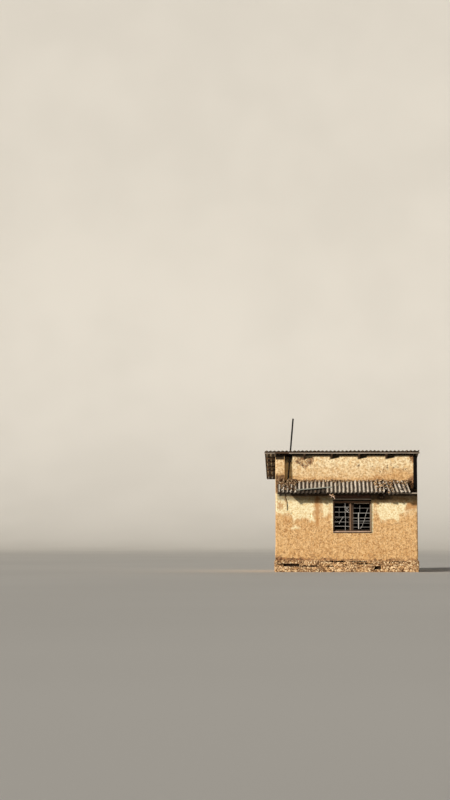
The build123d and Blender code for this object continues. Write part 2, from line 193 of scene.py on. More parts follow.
def grid_faces(rows, columns):
    """Quads of a grid of points numbered row by row."""
    a = np.arange(rows - 1)[:, None] * columns + np.arange(columns - 1)[None, :]
    return np.stack([a, a + columns, a + columns + 1, a + 1], axis=-1)


def shell(outer, inner, keep):
    """Closed mesh of two point grids: the kept outer quads, the inner ones turned round, and a rim.

    A strip of the rim joins both grids along each grid edge that has a kept quad on one side only.
    """
    nu, nv, _ = outer.shape
    back = nu * nv
    quads = grid_faces(nu, nv)[keep]
    padded = np.zeros((nu + 1, nv + 1), dtype=bool)
    padded[1:-1, 1:-1] = keep
    index = np.arange(nu * nv).reshape(nu, nv)
    strips = []
    for one, other, (di, dj), turned in (
        (padded[1:-1, 1:], padded[1:-1, :-1], (1, 0), True),
        (padded[1:, 1:-1], padded[:-1, 1:-1], (0, 1), False),
    ):
        for here, flip in ((one & ~other, turned), (other & ~one, not turned)):
            i, j = np.nonzero(here)
            a, b = index[i, j], index[i + di, j + dj]
            if flip:
                a, b = b, a
            strips.append(np.stack([a, b, b + back, a + back], axis=-1))
    points = np.concatenate([outer.reshape(-1, 3), inner.reshape(-1, 3)])
    return points, [np.concatenate([quads, quads[:, ::-1] + back] + strips)]


def closed_tube(rings):
    """Closed surface through rings of points along a path, with a fan of triangles at both ends."""
    count, around, _ = rings.shape
    index = np.arange(count * around).reshape(count, around)
    turned = np.roll(index, -1, axis=1)
    sides = np.stack([index[:-1], turned[:-1], turned[1:], index[1:]], axis=-1).reshape(-1, 4)
    ends = np.stack([rings[0].mean(axis=0), rings[-1].mean(axis=0)])
    first, last = count * around, count * around + 1
    start = np.stack([np.full(around, first), turned[0], index[0]], axis=-1)
    stop = np.stack([np.full(around, last), index[-1], turned[-1]], axis=-1)
    return np.concatenate([rings.reshape(-1, 3), ends]), [sides, start, stop]


def joined(parts):
    """One mesh from several (points, faces, ...) parts; faces of one size go into one array."""
    points, by_size, offset = [], {}, 0
    for part_points, part_faces, *_ in parts:
        points.append(part_points)
        for faces in part_faces:
            by_size.setdefault(faces.shape[1], []).append(faces + offset)
        offset += len(part_points)
    return np.concatenate(points), [np.concatenate(f) for f in by_size.values()]


def dress(piece, material, slot, *nodes):
    """Give a piece its material and body, and let it stand for its nodes; the slot is not used."""
    piece.data.materials.clear()
    piece.data.materials.append(material)
    if nodes:
        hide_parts(*nodes)
    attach(piece, "root")


def angles(count):
    """Evenly spaced angles round a full turn."""
    return np.linspace(0, 2 * pi, count, endpoint=False)


def beam(start, end, width, depth, seed, up=(0, 0, 1), wear=0.0025, tip=None):
    """Rough-sawn beam: a rounded rectangle carried along a straight path.

    The section is the superellipse of power 8 at 24 angles; noise draws it in by the wear. A tip
    (length, depth) thins the start from below, evenly over its length. Returns points, faces and
    the grain coordinates: along, across and up the beam.
    """
    around, power, edge = 24, 8, 0.006
    start, end, up = (np.asarray(v, dtype=float) for v in (start, end, up))
    length = np.linalg.norm(end - start)
    along = (end - start) / length
    side = np.cross(along, up)
    side /= np.linalg.norm(side)
    top = np.cross(side, along)
    angle = -(angles(around) + pi / around)
    c, s = np.cos(angle), np.sin(angle)
    radius = (np.abs(c) ** power + np.abs(s) ** power) ** (-1 / power)
    marks = (0, edge, length - edge, length) if tip is None else (0, edge, tip[0], length - edge, length)
    t = np.concatenate([[0], stations(0.05, *marks), [length]])
    shrink = np.ones(len(t))
    shrink[[0, -1]] = 0.5
    shrink[[1, -2]] = 0.93
    deep = np.full(len(t), depth) if tip is None else np.interp(t, (0, tip[0]), (tip[1], depth))
    across = (radius * c * width / 2)[None, :] * shrink[:, None]
    rise = (radius * s)[None, :] * (deep / 2 * shrink)[:, None]
    grain = np.stack([np.broadcast_to(t[:, None], across.shape), across, rise], axis=-1)
    worn = 0.5 + 0.5 * rough(grain * (0.15, 1, 1) + seed * 7.3, 0.03, seed)
    push = 1 - wear * worn / (min(width, depth) / 2)
    across, rise = across * push, rise * push + ((depth - deep) / 2)[:, None]
    rings = start + t[:, None, None] * along + across[..., None] * side + rise[..., None] * top
    ends = np.array([[0, 0, 0], [length, 0, 0]])
    grain = np.concatenate([grain.reshape(-1, 3), ends]) + (seed * 3.17, seed * 1.71, 0)
    return *closed_tube(rings), grain


def timber(name, wood, beams, *nodes, slot="timber", shaded_above=None):
    """One piece of several beams, with their grain coordinates, standing for its nodes.

    Above the given level the timber is painted darker, as shade under the sheets' edge.
    """
    points, faces = joined(beams)
    attributes = {"grain": np.concatenate([grain for _, _, grain in beams])}
    if shaded_above is not None:
        attributes["top_shade"] = 0.8 * smooth(shaded_above - 0.012, shaded_above + 0.012, points[:, 2])
    dress(put_mesh(name, points, faces, attributes, sharp=60), WOODS[wood], slot, *nodes)


def box_beam(low, high, axis, seed, inset=0.0005):
    """Beam that fills a box between two corners, along one axis."""
    low, high = np.asarray(low, float), np.asarray(high, float)
    start, end = (low + high) / 2, (low + high) / 2
    start[axis], end[axis] = low[axis] + inset, high[axis] - inset
    size = high - low
    if axis == 2:
        return beam(start, end, size[0], size[1], seed, up=(0, 1, 0))
    return beam(start, end, size[1 - axis], size[2], seed)


def boxed(front, back, *rows):
    """Beams between two faces in y, one for each row (low x, high x, low z, high z, axis, seed)."""
    return [box_beam((a, front, c), (b, back, d), axis, seed) for a, b, c, d, axis, seed in rows]


def pipe(path, radius, around=10, flat=1.0):
    """Bar along a list of points: an ellipse carried along it, `flat` times as deep as wide."""
    path = np.asarray(path, dtype=float)
    step = np.gradient(path, axis=0)
    step /= np.linalg.norm(step, axis=1)[:, None]
    side = np.cross(step, (0.0, 1.0, 0.0))
    side /= np.linalg.norm(side, axis=1)[:, None]
    other = np.cross(side, step)
    angle = -angles(around)
    wide = radius * np.cos(angle)[None, :, None] * side[:, None, :]
    deep = radius * flat * np.sin(angle)[None, :, None] * other[:, None, :]
    return closed_tube(path[:, None, :] + wide + deep)


def turned_part(centre, axis, profile, around=10):
    """Small turned part: a profile of (radius, height) pairs carried round an axis."""
    axis = np.asarray(axis, float)
    side = np.cross(axis, (0.0, 1.0, 0.0) if abs(axis[1]) < 0.9 else (1.0, 0, 0))
    side /= np.linalg.norm(side)
    other = np.cross(axis, side)
    angle = angles(around)
    ring = np.cos(angle)[:, None] * side + np.sin(angle)[:, None] * other
    return closed_tube(np.stack([centre + r * ring + h * axis for r, h in profile]))


# Materials


def rgb(red, green, blue):
    """Linear colour of an 8-bit display colour."""
    shares = (v / 255 for v in (red, green, blue))
    return (*(((v + 0.055) / 1.055) ** 2.4 if v > 10 / 255 else v / 12.92 for v in shares), 1.0)


class Graph:
    """A material's node tree with short calls for the nodes that these finishes use."""

    def __init__(self, name):
        self.material = bpy.data.materials.new(name)
        self.material.use_nodes = True
        self.tree = self.material.node_tree
        self.tree.nodes.clear()
        self.coords = self.add("ShaderNodeTexCoord").outputs["Object"]

    def add(self, kind, inputs=None, **settings):
        """New node with its settings and its inputs, each an output to join or a plain value."""
        node = self.tree.nodes.new(kind)
        for key, value in settings.items():
            setattr(node, key, value)
        for key, value in (inputs or {}).items():
            if hasattr(value, "is_output"):
                self.tree.links.new(value, node.inputs[key])
            else:
                node.inputs[key].default_value = value
        return node

    def stretch(self, scale, source=None):
        """Coordinates multiplied by a scale on each axis."""
        return self.add("ShaderNodeMapping", {"Vector": source or self.coords, "Scale": scale}).outputs[0]

    def noise(self, scale, detail=4, source=None, roughness=0.6, distortion=0.0):
        """Fractal noise from 0 to 1."""
        return self.add("ShaderNodeTexNoise", {
            "Vector": source or self.coords, "Scale": scale, "Detail": detail, "Roughness": roughness,
            "Distortion": distortion,
        }).outputs["Fac"]

    def cells(self, scale):
        """Distance to the nearest of scattered points."""
        return self.add("ShaderNodeTexVoronoi", {"Vector": self.coords, "Scale": scale}).outputs["Distance"]

    def math(self, operation, a, b):
        """One arithmetic node."""
        return self.add("ShaderNodeMath", {0: a, 1: b}, operation=operation).outputs[0]

    def total(self, *terms):
        """Sum of (value, weight) terms."""
        result = None
        for value, weight in terms:
            part = value if weight == 1 else self.math("MULTIPLY", value, weight)
            result = part if result is None else self.math("ADD", result, part)
        return result

    def ramp(self, value, low, high, start=0.0, stop=1.0):
        """Smooth step from start at low to stop at high."""
        inputs = {"Value": value, "From Min": low, "From Max": high, "To Min": start, "To Max": stop}
        return self.add("ShaderNodeMapRange", inputs, interpolation_type="SMOOTHSTEP").outputs["Result"]

    def mix(self, amount, first, second):
        """Blend of two colours, each an output or an 8-bit display colour."""
        first, second = (rgb(*tone) if isinstance(tone, tuple) else tone for tone in (first, second))
        node = self.add("ShaderNodeMix", {"Factor": amount}, data_type="RGBA")
        for socket, tone in zip([s for s in node.inputs if s.type == "RGBA"], (first, second)):
            if isinstance(tone, tuple):
                socket.default_value = tone
            else:
                self.tree.links.new(tone, socket)
        return next(s for s in node.outputs if s.type == "RGBA")

    def lay(self, colour, *coats):
        """Coats laid over a colour in turn, each (value, low, high, most, colour)."""
        for value, low, high, most, tone in coats:
            colour = self.mix(self.ramp(value, low, high, 0, most), colour, tone)
        return colour

    def attribute(self, name, vector=False):
        """A point attribute of the piece."""
        return self.add("ShaderNodeAttribute", attribute_name=name).outputs["Vector" if vector else "Fac"]

    def finish(self, colour, roughness, specular, height=None, distance=0.0):
        """Material of a colour, with a bump of a height in metres."""
        inputs = {"Base Color": colour, "Roughness": roughness, "Specular IOR Level": specular}
        if height:
            bump = self.add("ShaderNodeBump", {"Height": height, "Distance": distance})
            inputs["Normal"] = bump.outputs[0]
        shader = self.add("ShaderNodeBsdfPrincipled", inputs)
        self.add("ShaderNodeOutputMaterial", {0: shader.outputs[0]})
        return self.material


def earth_plaster():
    """Ochre mud plaster with whitewash, brown runs, pits, bare adobe where it has gone, and one dark colour
    for soot and painted shade.
    """
    g = Graph("earth_plaster")
    cloud = g.noise(1.5, 4)
    blotch = g.noise(8, 5, roughness=0.65)
    mottle = g.noise(14, 3, roughness=0.7)
    speck = g.noise(30, 4, roughness=0.75)
    grit = g.noise(120, 3, roughness=0.7)
    runs = g.noise(8, 4, g.stretch((1, 1, 0.1)))
    streaks = g.noise(22, 3, g.stretch((1, 1, 0.14)))
    broken = g.total((mottle, 0.5), (speck, 0.32), (grit, 0.18))
    ragged = g.total((blotch, 0.26), (mottle, 0.22), (speck, 0.24), (grit, 0.06))
    ragged = g.math("SUBTRACT", ragged, 0.39)
    ochre = g.lay(
        (204, 155, 97), (cloud, 0.35, 0.65, 1, (217, 170, 112)), (blotch, 0.44, 0.60, 0.75, (238, 197, 142)),
        (runs, 0.50, 0.68, 0.6, (186, 132, 80)), (streaks, 0.50, 0.62, 0.55, (240, 200, 146)),
        (broken, 0.47, 0.55, 0.9, (160, 113, 67)), (speck, 0.52, 0.61, 0.9, (250, 214, 160)),
    )
    pale = g.lay(
        (234, 198, 144), (blotch, 0.38, 0.60, 1, (255, 236, 194)), (broken, 0.47, 0.55, 0.9, (186, 144, 95)),
        (speck, 0.52, 0.62, 0.85, (255, 240, 202)),
    )
    wash = g.math("ADD", g.attribute("wash"), ragged)
    white = g.lay(
        (254, 242, 202), (broken, 0.44, 0.57, 1, (230, 201, 147)), (speck, 0.53, 0.66, 0.75, (204, 166, 112))
    )
    covered = g.ramp(wash, -0.015, 0.04)
    stain = g.total((g.attribute("stain"), 1), (runs, 0.2), (ragged, 0.5))
    pits = g.total((speck, 0.8), (mottle, 0.3), (g.attribute("pits"), 0.24), (blotch, 0.25))
    pits = g.ramp(pits, 0.875, 0.93)
    bare = g.ramp(g.math("ADD", g.attribute("bare"), ragged), -0.01, 0.02)
    adobe = g.lay(
        (96, 66, 43), (mottle, 0.42, 0.58, 1, (190, 142, 98)), (speck, 0.54, 0.63, 0.85, (232, 188, 140)),
        (blotch, 0.52, 0.64, 0.6, (92, 64, 42)),
    )
    # One dark colour for soot and for painted shade: under the eaves and the canopy, behind the rafter tails,
    # in a crack, at the window's sill and jamb, and indoors.
    soot = g.lay((23, 18, 15), (mottle, 0.42, 0.60, 1, (50, 39, 29)))
    colour = g.lay(g.mix(g.attribute("pale"), ochre, pale), (wash, -0.14, 0.0, 0.4, pale))
    colour = g.lay(g.mix(covered, colour, white), (stain, 0.06, 0.17, 0.75, (186, 133, 80)))
    colour = g.mix(g.math("MULTIPLY", pits, 0.9), colour, (102, 72, 45))
    colour = g.mix(g.attribute("soot"), g.mix(bare, colour, adobe), soot)
    height = g.total(
        (blotch, 0.5), (mottle, 0.3), (speck, 0.45), (grit, 0.08), (covered, 0.08), (pits, -0.7), (bare, -0.6)
    )
    return g.finish(colour, 0.95, 0.15, height, 0.010)


def adobe_brick():
    """Sun-dried brick under a dusting of mud: a tone for each brick, straw flecks, dark pores."""
    g = Graph("adobe_brick")
    blotch = g.noise(16, 5)
    speck = g.noise(60, 5, roughness=0.7)
    patch = g.noise(20, 3, roughness=0.7)
    straw = g.noise(60, 2, g.stretch((1, 1, 6)), 0.5)
    colour = g.lay(
        g.mix(g.attribute("tone"), (142, 100, 64), (238, 192, 142)),
        (blotch, 0.44, 0.60, 0.6, (166, 124, 82)), (patch, 0.52, 0.59, 0.93, (50, 33, 21)),
        (patch, 0.47, 0.40, 0.95, (255, 232, 188)), (speck, 0.54, 0.66, 0.7, (98, 68, 44)),
        (straw, 0.62, 0.72, 0.7, (240, 212, 164)),
    )
    colour = g.mix(g.attribute("dull"), colour, (74, 47, 33))
    return g.finish(colour, 0.95, 0.15, g.total((blotch, 0.6), (speck, 0.4)), 0.010)


def mud_mortar():
    """Dry mud between the bricks: tan where it is smeared over them, painted darker the deeper it lies back,
    as shade in the open joints.
    """
    g = Graph("mud_mortar")
    blotch = g.noise(12, 5)
    speck = g.noise(60, 5, roughness=0.7)
    patch = g.noise(20, 3, roughness=0.7)
    colour = g.lay(
        (134, 96, 61), (blotch, 0.40, 0.60, 1, (206, 160, 110)), (patch, 0.52, 0.60, 0.85, (66, 45, 29)),
        (patch, 0.47, 0.39, 0.85, (252, 214, 162)), (speck, 0.52, 0.66, 0.7, (92, 65, 42)),
        # Painted shade: the mud is darker the deeper it lies back in open joints and holes.
        (g.attribute("depth"), 0.015, 0.05, 0.97, (40, 27, 18)),
    )
    return g.finish(colour, 0.96, 0.1, g.total((blotch, 1), (speck, 0.6)), 0.012)


def fibre_cement():
    """Weathered corrugated sheet: pale worn crests, valleys darkened by soil and painted shade, stains down
    the slope, and painted shade where the soil value is raised.
    """
    g = Graph("fibre_cement")
    lane = g.attribute("lane", vector=True)
    blotch = g.noise(11, 5)
    speck = g.noise(70, 5, roughness=0.7)
    run = g.noise(5, 5, g.stretch((4, 0.35, 1), lane))
    flecks = g.noise(24, 3, roughness=0.7)
    # Valleys are darker, partly soil and partly painted shade; the soil value also carries painted shade.
    dirt_and_shade = g.total((g.attribute("valley"), 0.75), (g.attribute("soil"), 0.35), (blotch, 1.1), (run, 0.3))
    colour = g.lay(
        g.mix(g.attribute("tone"), (206, 191, 170), (230, 217, 199)),
        (run, 0.42, 0.7, 0.7, (142, 127, 108)), (flecks, 0.53, 0.63, 0.65, (104, 92, 78)),
        (flecks, 0.46, 0.38, 0.8, (240, 230, 216)), (speck, 0.54, 0.70, 0.5, (122, 110, 97)),
        (dirt_and_shade, 1.10, 1.50, 0.95, (58, 48, 39)),
    )
    lichen = g.math("MULTIPLY", g.ramp(g.cells(26), 0.12, 0.2, 1, 0), g.ramp(blotch, 0.50, 0.60))
    rust = g.noise(3.5, 5, g.stretch((1.5, 0.6, 1), lane))
    colour = g.lay(g.mix(lichen, colour, (84, 78, 62)), (rust, 0.58, 0.75, 0.45, (154, 118, 86)))
    return g.finish(colour, 0.9, 0.2, g.total((speck, 0.5), (blotch, 1)), 0.003)


def old_timber(name, light, dark, gap, specular=0.25):
    """Dry timber with grain, blotches and checks along each beam, and painted shade over its top where asked.
    """
    g = Graph(name)
    grain = g.attribute("grain", vector=True)
    rings = g.noise(22, 6, g.stretch((0.12, 2.2, 2.2), grain), 0.65, 0.6)
    fine = g.noise(140, 4, g.stretch((0.06, 1.5, 1.5), grain), 0.6)
    blotch = g.noise(3, 4, grain)
    split = g.ramp(g.noise(16, 3, g.stretch((0.05, 3, 3), grain), 0.4), 0.66, 0.7)
    colour = g.lay(
        dark, (rings, 0.35, 0.65, 1, light), (fine, 0.5, 0.72, 0.6, gap), (blotch, 0.45, 0.7, 0.4, dark)
    )
    # Painted shade: the top is darkened to the gap colour.
    colour = g.mix(g.attribute("top_shade"), g.mix(split, colour, gap), gap)
    return g.finish(colour, 0.85, specular, g.total((rings, 0.5), (fine, 0.5), (split, -1)), 0.003)


def weathered_steel(name, clean, rust, amount, dark, specular=0.3):
    """Steel with rust blooms and a dull skin."""
    g = Graph(name)
    bloom = g.noise(25, 6, roughness=0.7)
    fine = g.noise(160, 4)
    colour = g.lay(clean, (bloom, amount, amount + 0.12, 1, rust), (fine, 0.5, 0.7, 0.3, dark))
    roughness = g.ramp(bloom, 0.35, 0.6, 0.6, 0.85)
    return g.finish(colour, roughness, specular, g.total((bloom, 1), (fine, 0.5)), 0.001)


def beaten_earth():
    """Trodden floor earth with small stones."""
    g = Graph("beaten_earth")
    blotch = g.noise(5, 6)
    fine = g.noise(60, 5, roughness=0.7)
    stones = g.ramp(g.cells(30), 0.08, 0.14, 0.6, 0)
    colour = g.mix(stones, g.lay((84, 66, 48), (blotch, 0.35, 0.65, 1, (118, 94, 68))), (140, 124, 102))
    return g.finish(colour, 0.97, 0.1, g.total((blotch, 1), (fine, 0.5)), 0.01)


PLASTER = earth_plaster()
BRICK = adobe_brick()
MUD = mud_mortar()
CEMENT = fibre_cement()
EARTH = beaten_earth()
WOODS = {
    name: old_timber(name, *tones)
    for name, *tones in (
        ("old_timber", (96, 73, 53), (64, 47, 34), (28, 20, 15)),
        # A darker copy of the canopy's timber for its joists and battens: painted shade.
        ("shaded_eave_timber", (50, 38, 29), (30, 22, 17), (12, 9, 7)),
        ("lintel_timber", (118, 86, 68), (78, 56, 43), (32, 22, 17)),
        ("grey_timber", (192, 178, 162), (152, 138, 121), (72, 61, 51)),
        ("pale_split", (238, 206, 182), (206, 168, 142), (128, 96, 76)),
        ("lichen_timber", (196, 196, 182), (160, 160, 146), (78, 75, 64)),
        ("dark_timber", (20, 16, 13), (12, 10, 8), (5, 4, 3), 0.08),
        ("window_timber", (118, 92, 70), (82, 62, 46), (34, 25, 19)),
        ("rail_timber", (148, 118, 94), (106, 82, 62), (56, 42, 32)),
        # The sill's apron timber is painted dark as shade under the sill board.
        ("sill_shade_timber", (56, 41, 29), (36, 26, 18), (16, 11, 8)),
        ("stile_timber", (176, 154, 124), (132, 110, 86), (72, 57, 43)),
        ("sash_timber", (62, 50, 39), (40, 31, 24), (16, 12, 10)),
        ("bare_timber", (240, 208, 184), (204, 172, 148), (130, 104, 84)),
    )
}
MAST_STEEL = weathered_steel("mast_steel", (12, 11, 11), (28, 20, 15), 0.5, (10, 8, 7), 0.12)
BAR_STEEL = weathered_steel("bar_steel", (184, 180, 174), (142, 124, 108), 0.55, (96, 84, 74))


# Walls

CORNER = 0.06
HAIR = 0.003
FRONT_STEP, PLAIN_STEP = 0.025, 0.045


def roof_line(y):
    """Height of the walls' top over plan line y: the roof falls evenly to the back."""
    return WALL_TOP_FRONT - (y - FRONT_Y) * tan(ROOF_PITCH)


def raised(z, low, high, to):
    """Heights stretched evenly above low, so that high comes to another height."""
    return np.where(z > low, low + (z - low) * ((to - low) / (high - low)), z)


def wall_points(corner, run, inward, t, z_out, z_in, thick=WALL, mitred=(True, True)):
    """Outer and inner grids of one wall of a ring, with rounded corners and mitred or square ends.

    Along the wall the outer point is corner + t * run. In the last CORNER at either end it follows half
    a quarter round instead, at 45 degrees * d / CORNER. The inner point lies one thickness inward, with
    the mitred ends drawn in by the same thickness.
    """
    length = t[-1]
    run, inward = np.asarray(run, float), np.asarray(inward, float)
    d = np.clip(CORNER - t, 0, None) - np.clip(t - (length - CORNER), 0, None)
    angle = d / CORNER * pi / 4
    at = np.clip(t, CORNER, length - CORNER) - CORNER * np.sin(angle)
    sink = CORNER * (1 - np.cos(angle))
    outer = corner + at[:, None] * run + sink[:, None] * inward
    normal = -np.cos(angle)[:, None] * inward - np.sin(angle)[:, None] * run
    bend = 3 * thick
    near, far = (thick + s / bend * (bend - thick) for s in (t, length - t))
    inner_t = np.where((t < bend) & mitred[0], near, t)
    inner_t = np.where((t > length - bend) & mitred[1], length - far, inner_t)
    inner = corner + inner_t[:, None] * run + thick * inward
    shape = (len(t), np.shape(z_out)[-1], 3)
    outer, inner, normal = (np.broadcast_to(v[:, None, :], shape).copy() for v in (outer, inner, normal))
    outer[..., 2] = z_out
    inner[..., 2] = z_in
    return outer, inner, normal


def undulation(points):
    """Outward relief of hand-laid plaster: slow swells, trowel marks and a little batter at the foot."""
    swell = 0.007 * rough(points, 0.9, 3, 3)
    trowel = 0.003 * rough(points * (1, 1, 1.6), 0.16, 9, 3)
    return swell + trowel + 0.015 * smooth(1.3, 0.45, points[..., 2])


# Outlines of the front wall's wear, in its x and z
# x of the rafter tails, beside which shadows are painted on the wall
TAILS = (-0.59, 0.453, 1.496)
WASHED = (
    ((-2.8, 2.95), (-2.19, 2.95), (-2.12, 2.8), (-1.19, 2.8), (-1.19, 2.3), (-1.27, 2.17), (-1.18, 1.96),
     (-1.19, 1.88), (-1.37, 1.9), (-1.42, 2.02), (-1.67, 2.02), (-1.71, 1.96), (-1.79, 2), (-1.86, 1.99),
     (-1.98, 1.91), (-2.06, 2.11), (-2.16, 2.2), (-2.33, 2.2), (-2.43, 2.12), (-2.5, 2.18), (-2.8, 2.28)),
    ((-2.1, 1.61), (-1.98, 1.7), (-1.92, 1.76), (-1.85, 1.68), (-1.76, 1.67), (-1.77, 1.61), (-1.92, 1.6)),
    ((-2, 1.88), (-1.94, 1.88), (-1.97, 1.79)),
    ((-0.92, 2.8), (-0.62, 2.8), (-0.66, 2.3), (-0.72, 2.1), (-0.86, 2.02), (-0.9, 2.3)),
    ((-0.6, 2.8), (-0.46, 2.8), (-0.46, 1.6), (-0.53, 1.7), (-0.56, 2)),
    ((0.9, 2.62), (1.08, 2.62), (1.04, 2.1), (1.01, 1.5), (0.9, 1.45)),
    ((1.18, 2.66), (2.33, 2.66), (2.33, 2.47), (2.23, 2.39), (2.21, 2.15), (2.02, 2.15), (2, 1.98),
     (1.94, 1.81), (1.87, 1.82), (1.8, 1.93), (1.67, 1.97), (1.56, 1.92), (1.38, 1.88), (1.33, 1.78),
     (1.28, 1.8), (1.25, 1.96), (1.16, 2.15), (1.08, 2.35)),
    ((2.25, 2.32), (2.32, 2.32), (2.31, 2.15), (2.25, 2.16)),
    ((2.4, 2.34), (2.6, 2.34), (2.58, 2.23), (2.42, 2.22)),
)
STAINED = (
    ((-1.19, 2.9), (-1.01, 2.9), (-1.01, 2.34), (-1.04, 2.02), (-1.04, 1.72), (-1.16, 1.72), (-1.15, 1.96),
     (-1.21, 2.2)),
    ((2.26, 2.62), (2.66, 2.62), (2.66, 2.35), (2.42, 2.31), (2.23, 2.35)),
    ((-2.6, 2.66), (-2.44, 2.6), (-2.37, 2.45), (-2.47, 2.3), (-2.6, 2.34)),
    ((-2.32, 2.95), (-2.25, 2.95), (-2.24, 2.62), (-2.27, 2.5), (-2.3, 2.62)),
)
FALLEN = (
    ((-2.75, 3.62), (-2.28, 3.64), (-2.28, 3), (-2.75, 3)),
    ((2.39, 4.45), (2.6, 4.45), (2.6, 4.1), (2.46, 4.09), (2.41, 4.22)),
    ((2.32, 3.46), (2.42, 3.6), (2.6, 3.62), (2.6, 3), (2.26, 3)),
    ((-2.8, 0.6), (-2.55, 0.63), (-2.4, 0.55), (-2.1, 0.51), (-1.6, 0.54), (-1.2, 0.47), (-0.7, 0.51),
     (-0.2, 0.46), (0.4, 0.49), (0.9, 0.44), (1.7, 0.48), (2.2, 0.45), (2.8, 0.49), (2.8, 0.3), (-2.8, 0.3)),
)
PITTED = (
    (0.78, ((-1.98, 4.31), (-1.19, 4.36), (-1.16, 4.19), (-1.25, 4.01), (-1.5, 3.89), (-1.62, 3.89),
            (-1.71, 3.98), (-1.89, 4.02), (-1.98, 4.19))),
    (0.9, ((0.4, 3.96), (0.46, 3.93), (0.58, 4.09), (0.53, 4.1))),
    (0.6, ((1.28, 4), (1.72, 4.03), (1.99, 3.98), (1.99, 3.88), (1.63, 3.79), (1.36, 3.82))),
    (0.6, ((0.93, 4.16), (0.98, 4.16), (1.02, 3.82), (1.54, 3.78), (1.54, 3.73), (0.99, 3.74), (0.93, 3.86))),
    (0.8, ((2.12, 3.91), (2.29, 3.9), (2.29, 3.8), (2.12, 3.82))),
    (0.4, ((1, 2.7), (1.7, 2.7), (1.7, 2.54), (1.2, 2.46), (1.02, 2.3))),
    (0.5, ((-2.68, 0.8), (-1.2, 0.72), (0.4, 0.7), (1.6, 0.66), (2.68, 0.7), (2.68, 0.42), (-2.68, 0.42))),
)
OCHRE_LINE = (
    (-2.02, 3.6), (-1, 3.55), (0, 3.52), (0.9, 3.56), (1.3, 3.66), (1.63, 3.73), (1.93, 3.86), (2.13, 3.82),
    (2.54, 3.71),
)
# Cracks: points and half the width
CRACKS = (
    (((-2.28, 2.98), (-2.26, 2.78), (-2.22, 2.62), (-2.21, 2.5), (-2.215, 2.32)), 0.022),
    (((-2.08, 2.19), (-2, 2.21)), 0.018),
    (((-1.35, 2.19), (-1.35, 2.05)), 0.014),
    (((0.58, 0.59), (0.65, 0.65)), 0.022),
    (((-2.66, 0.5), (-2.35, 0.5), (-2.05, 0.48), (-1.8, 0.46)), 0.03),
)


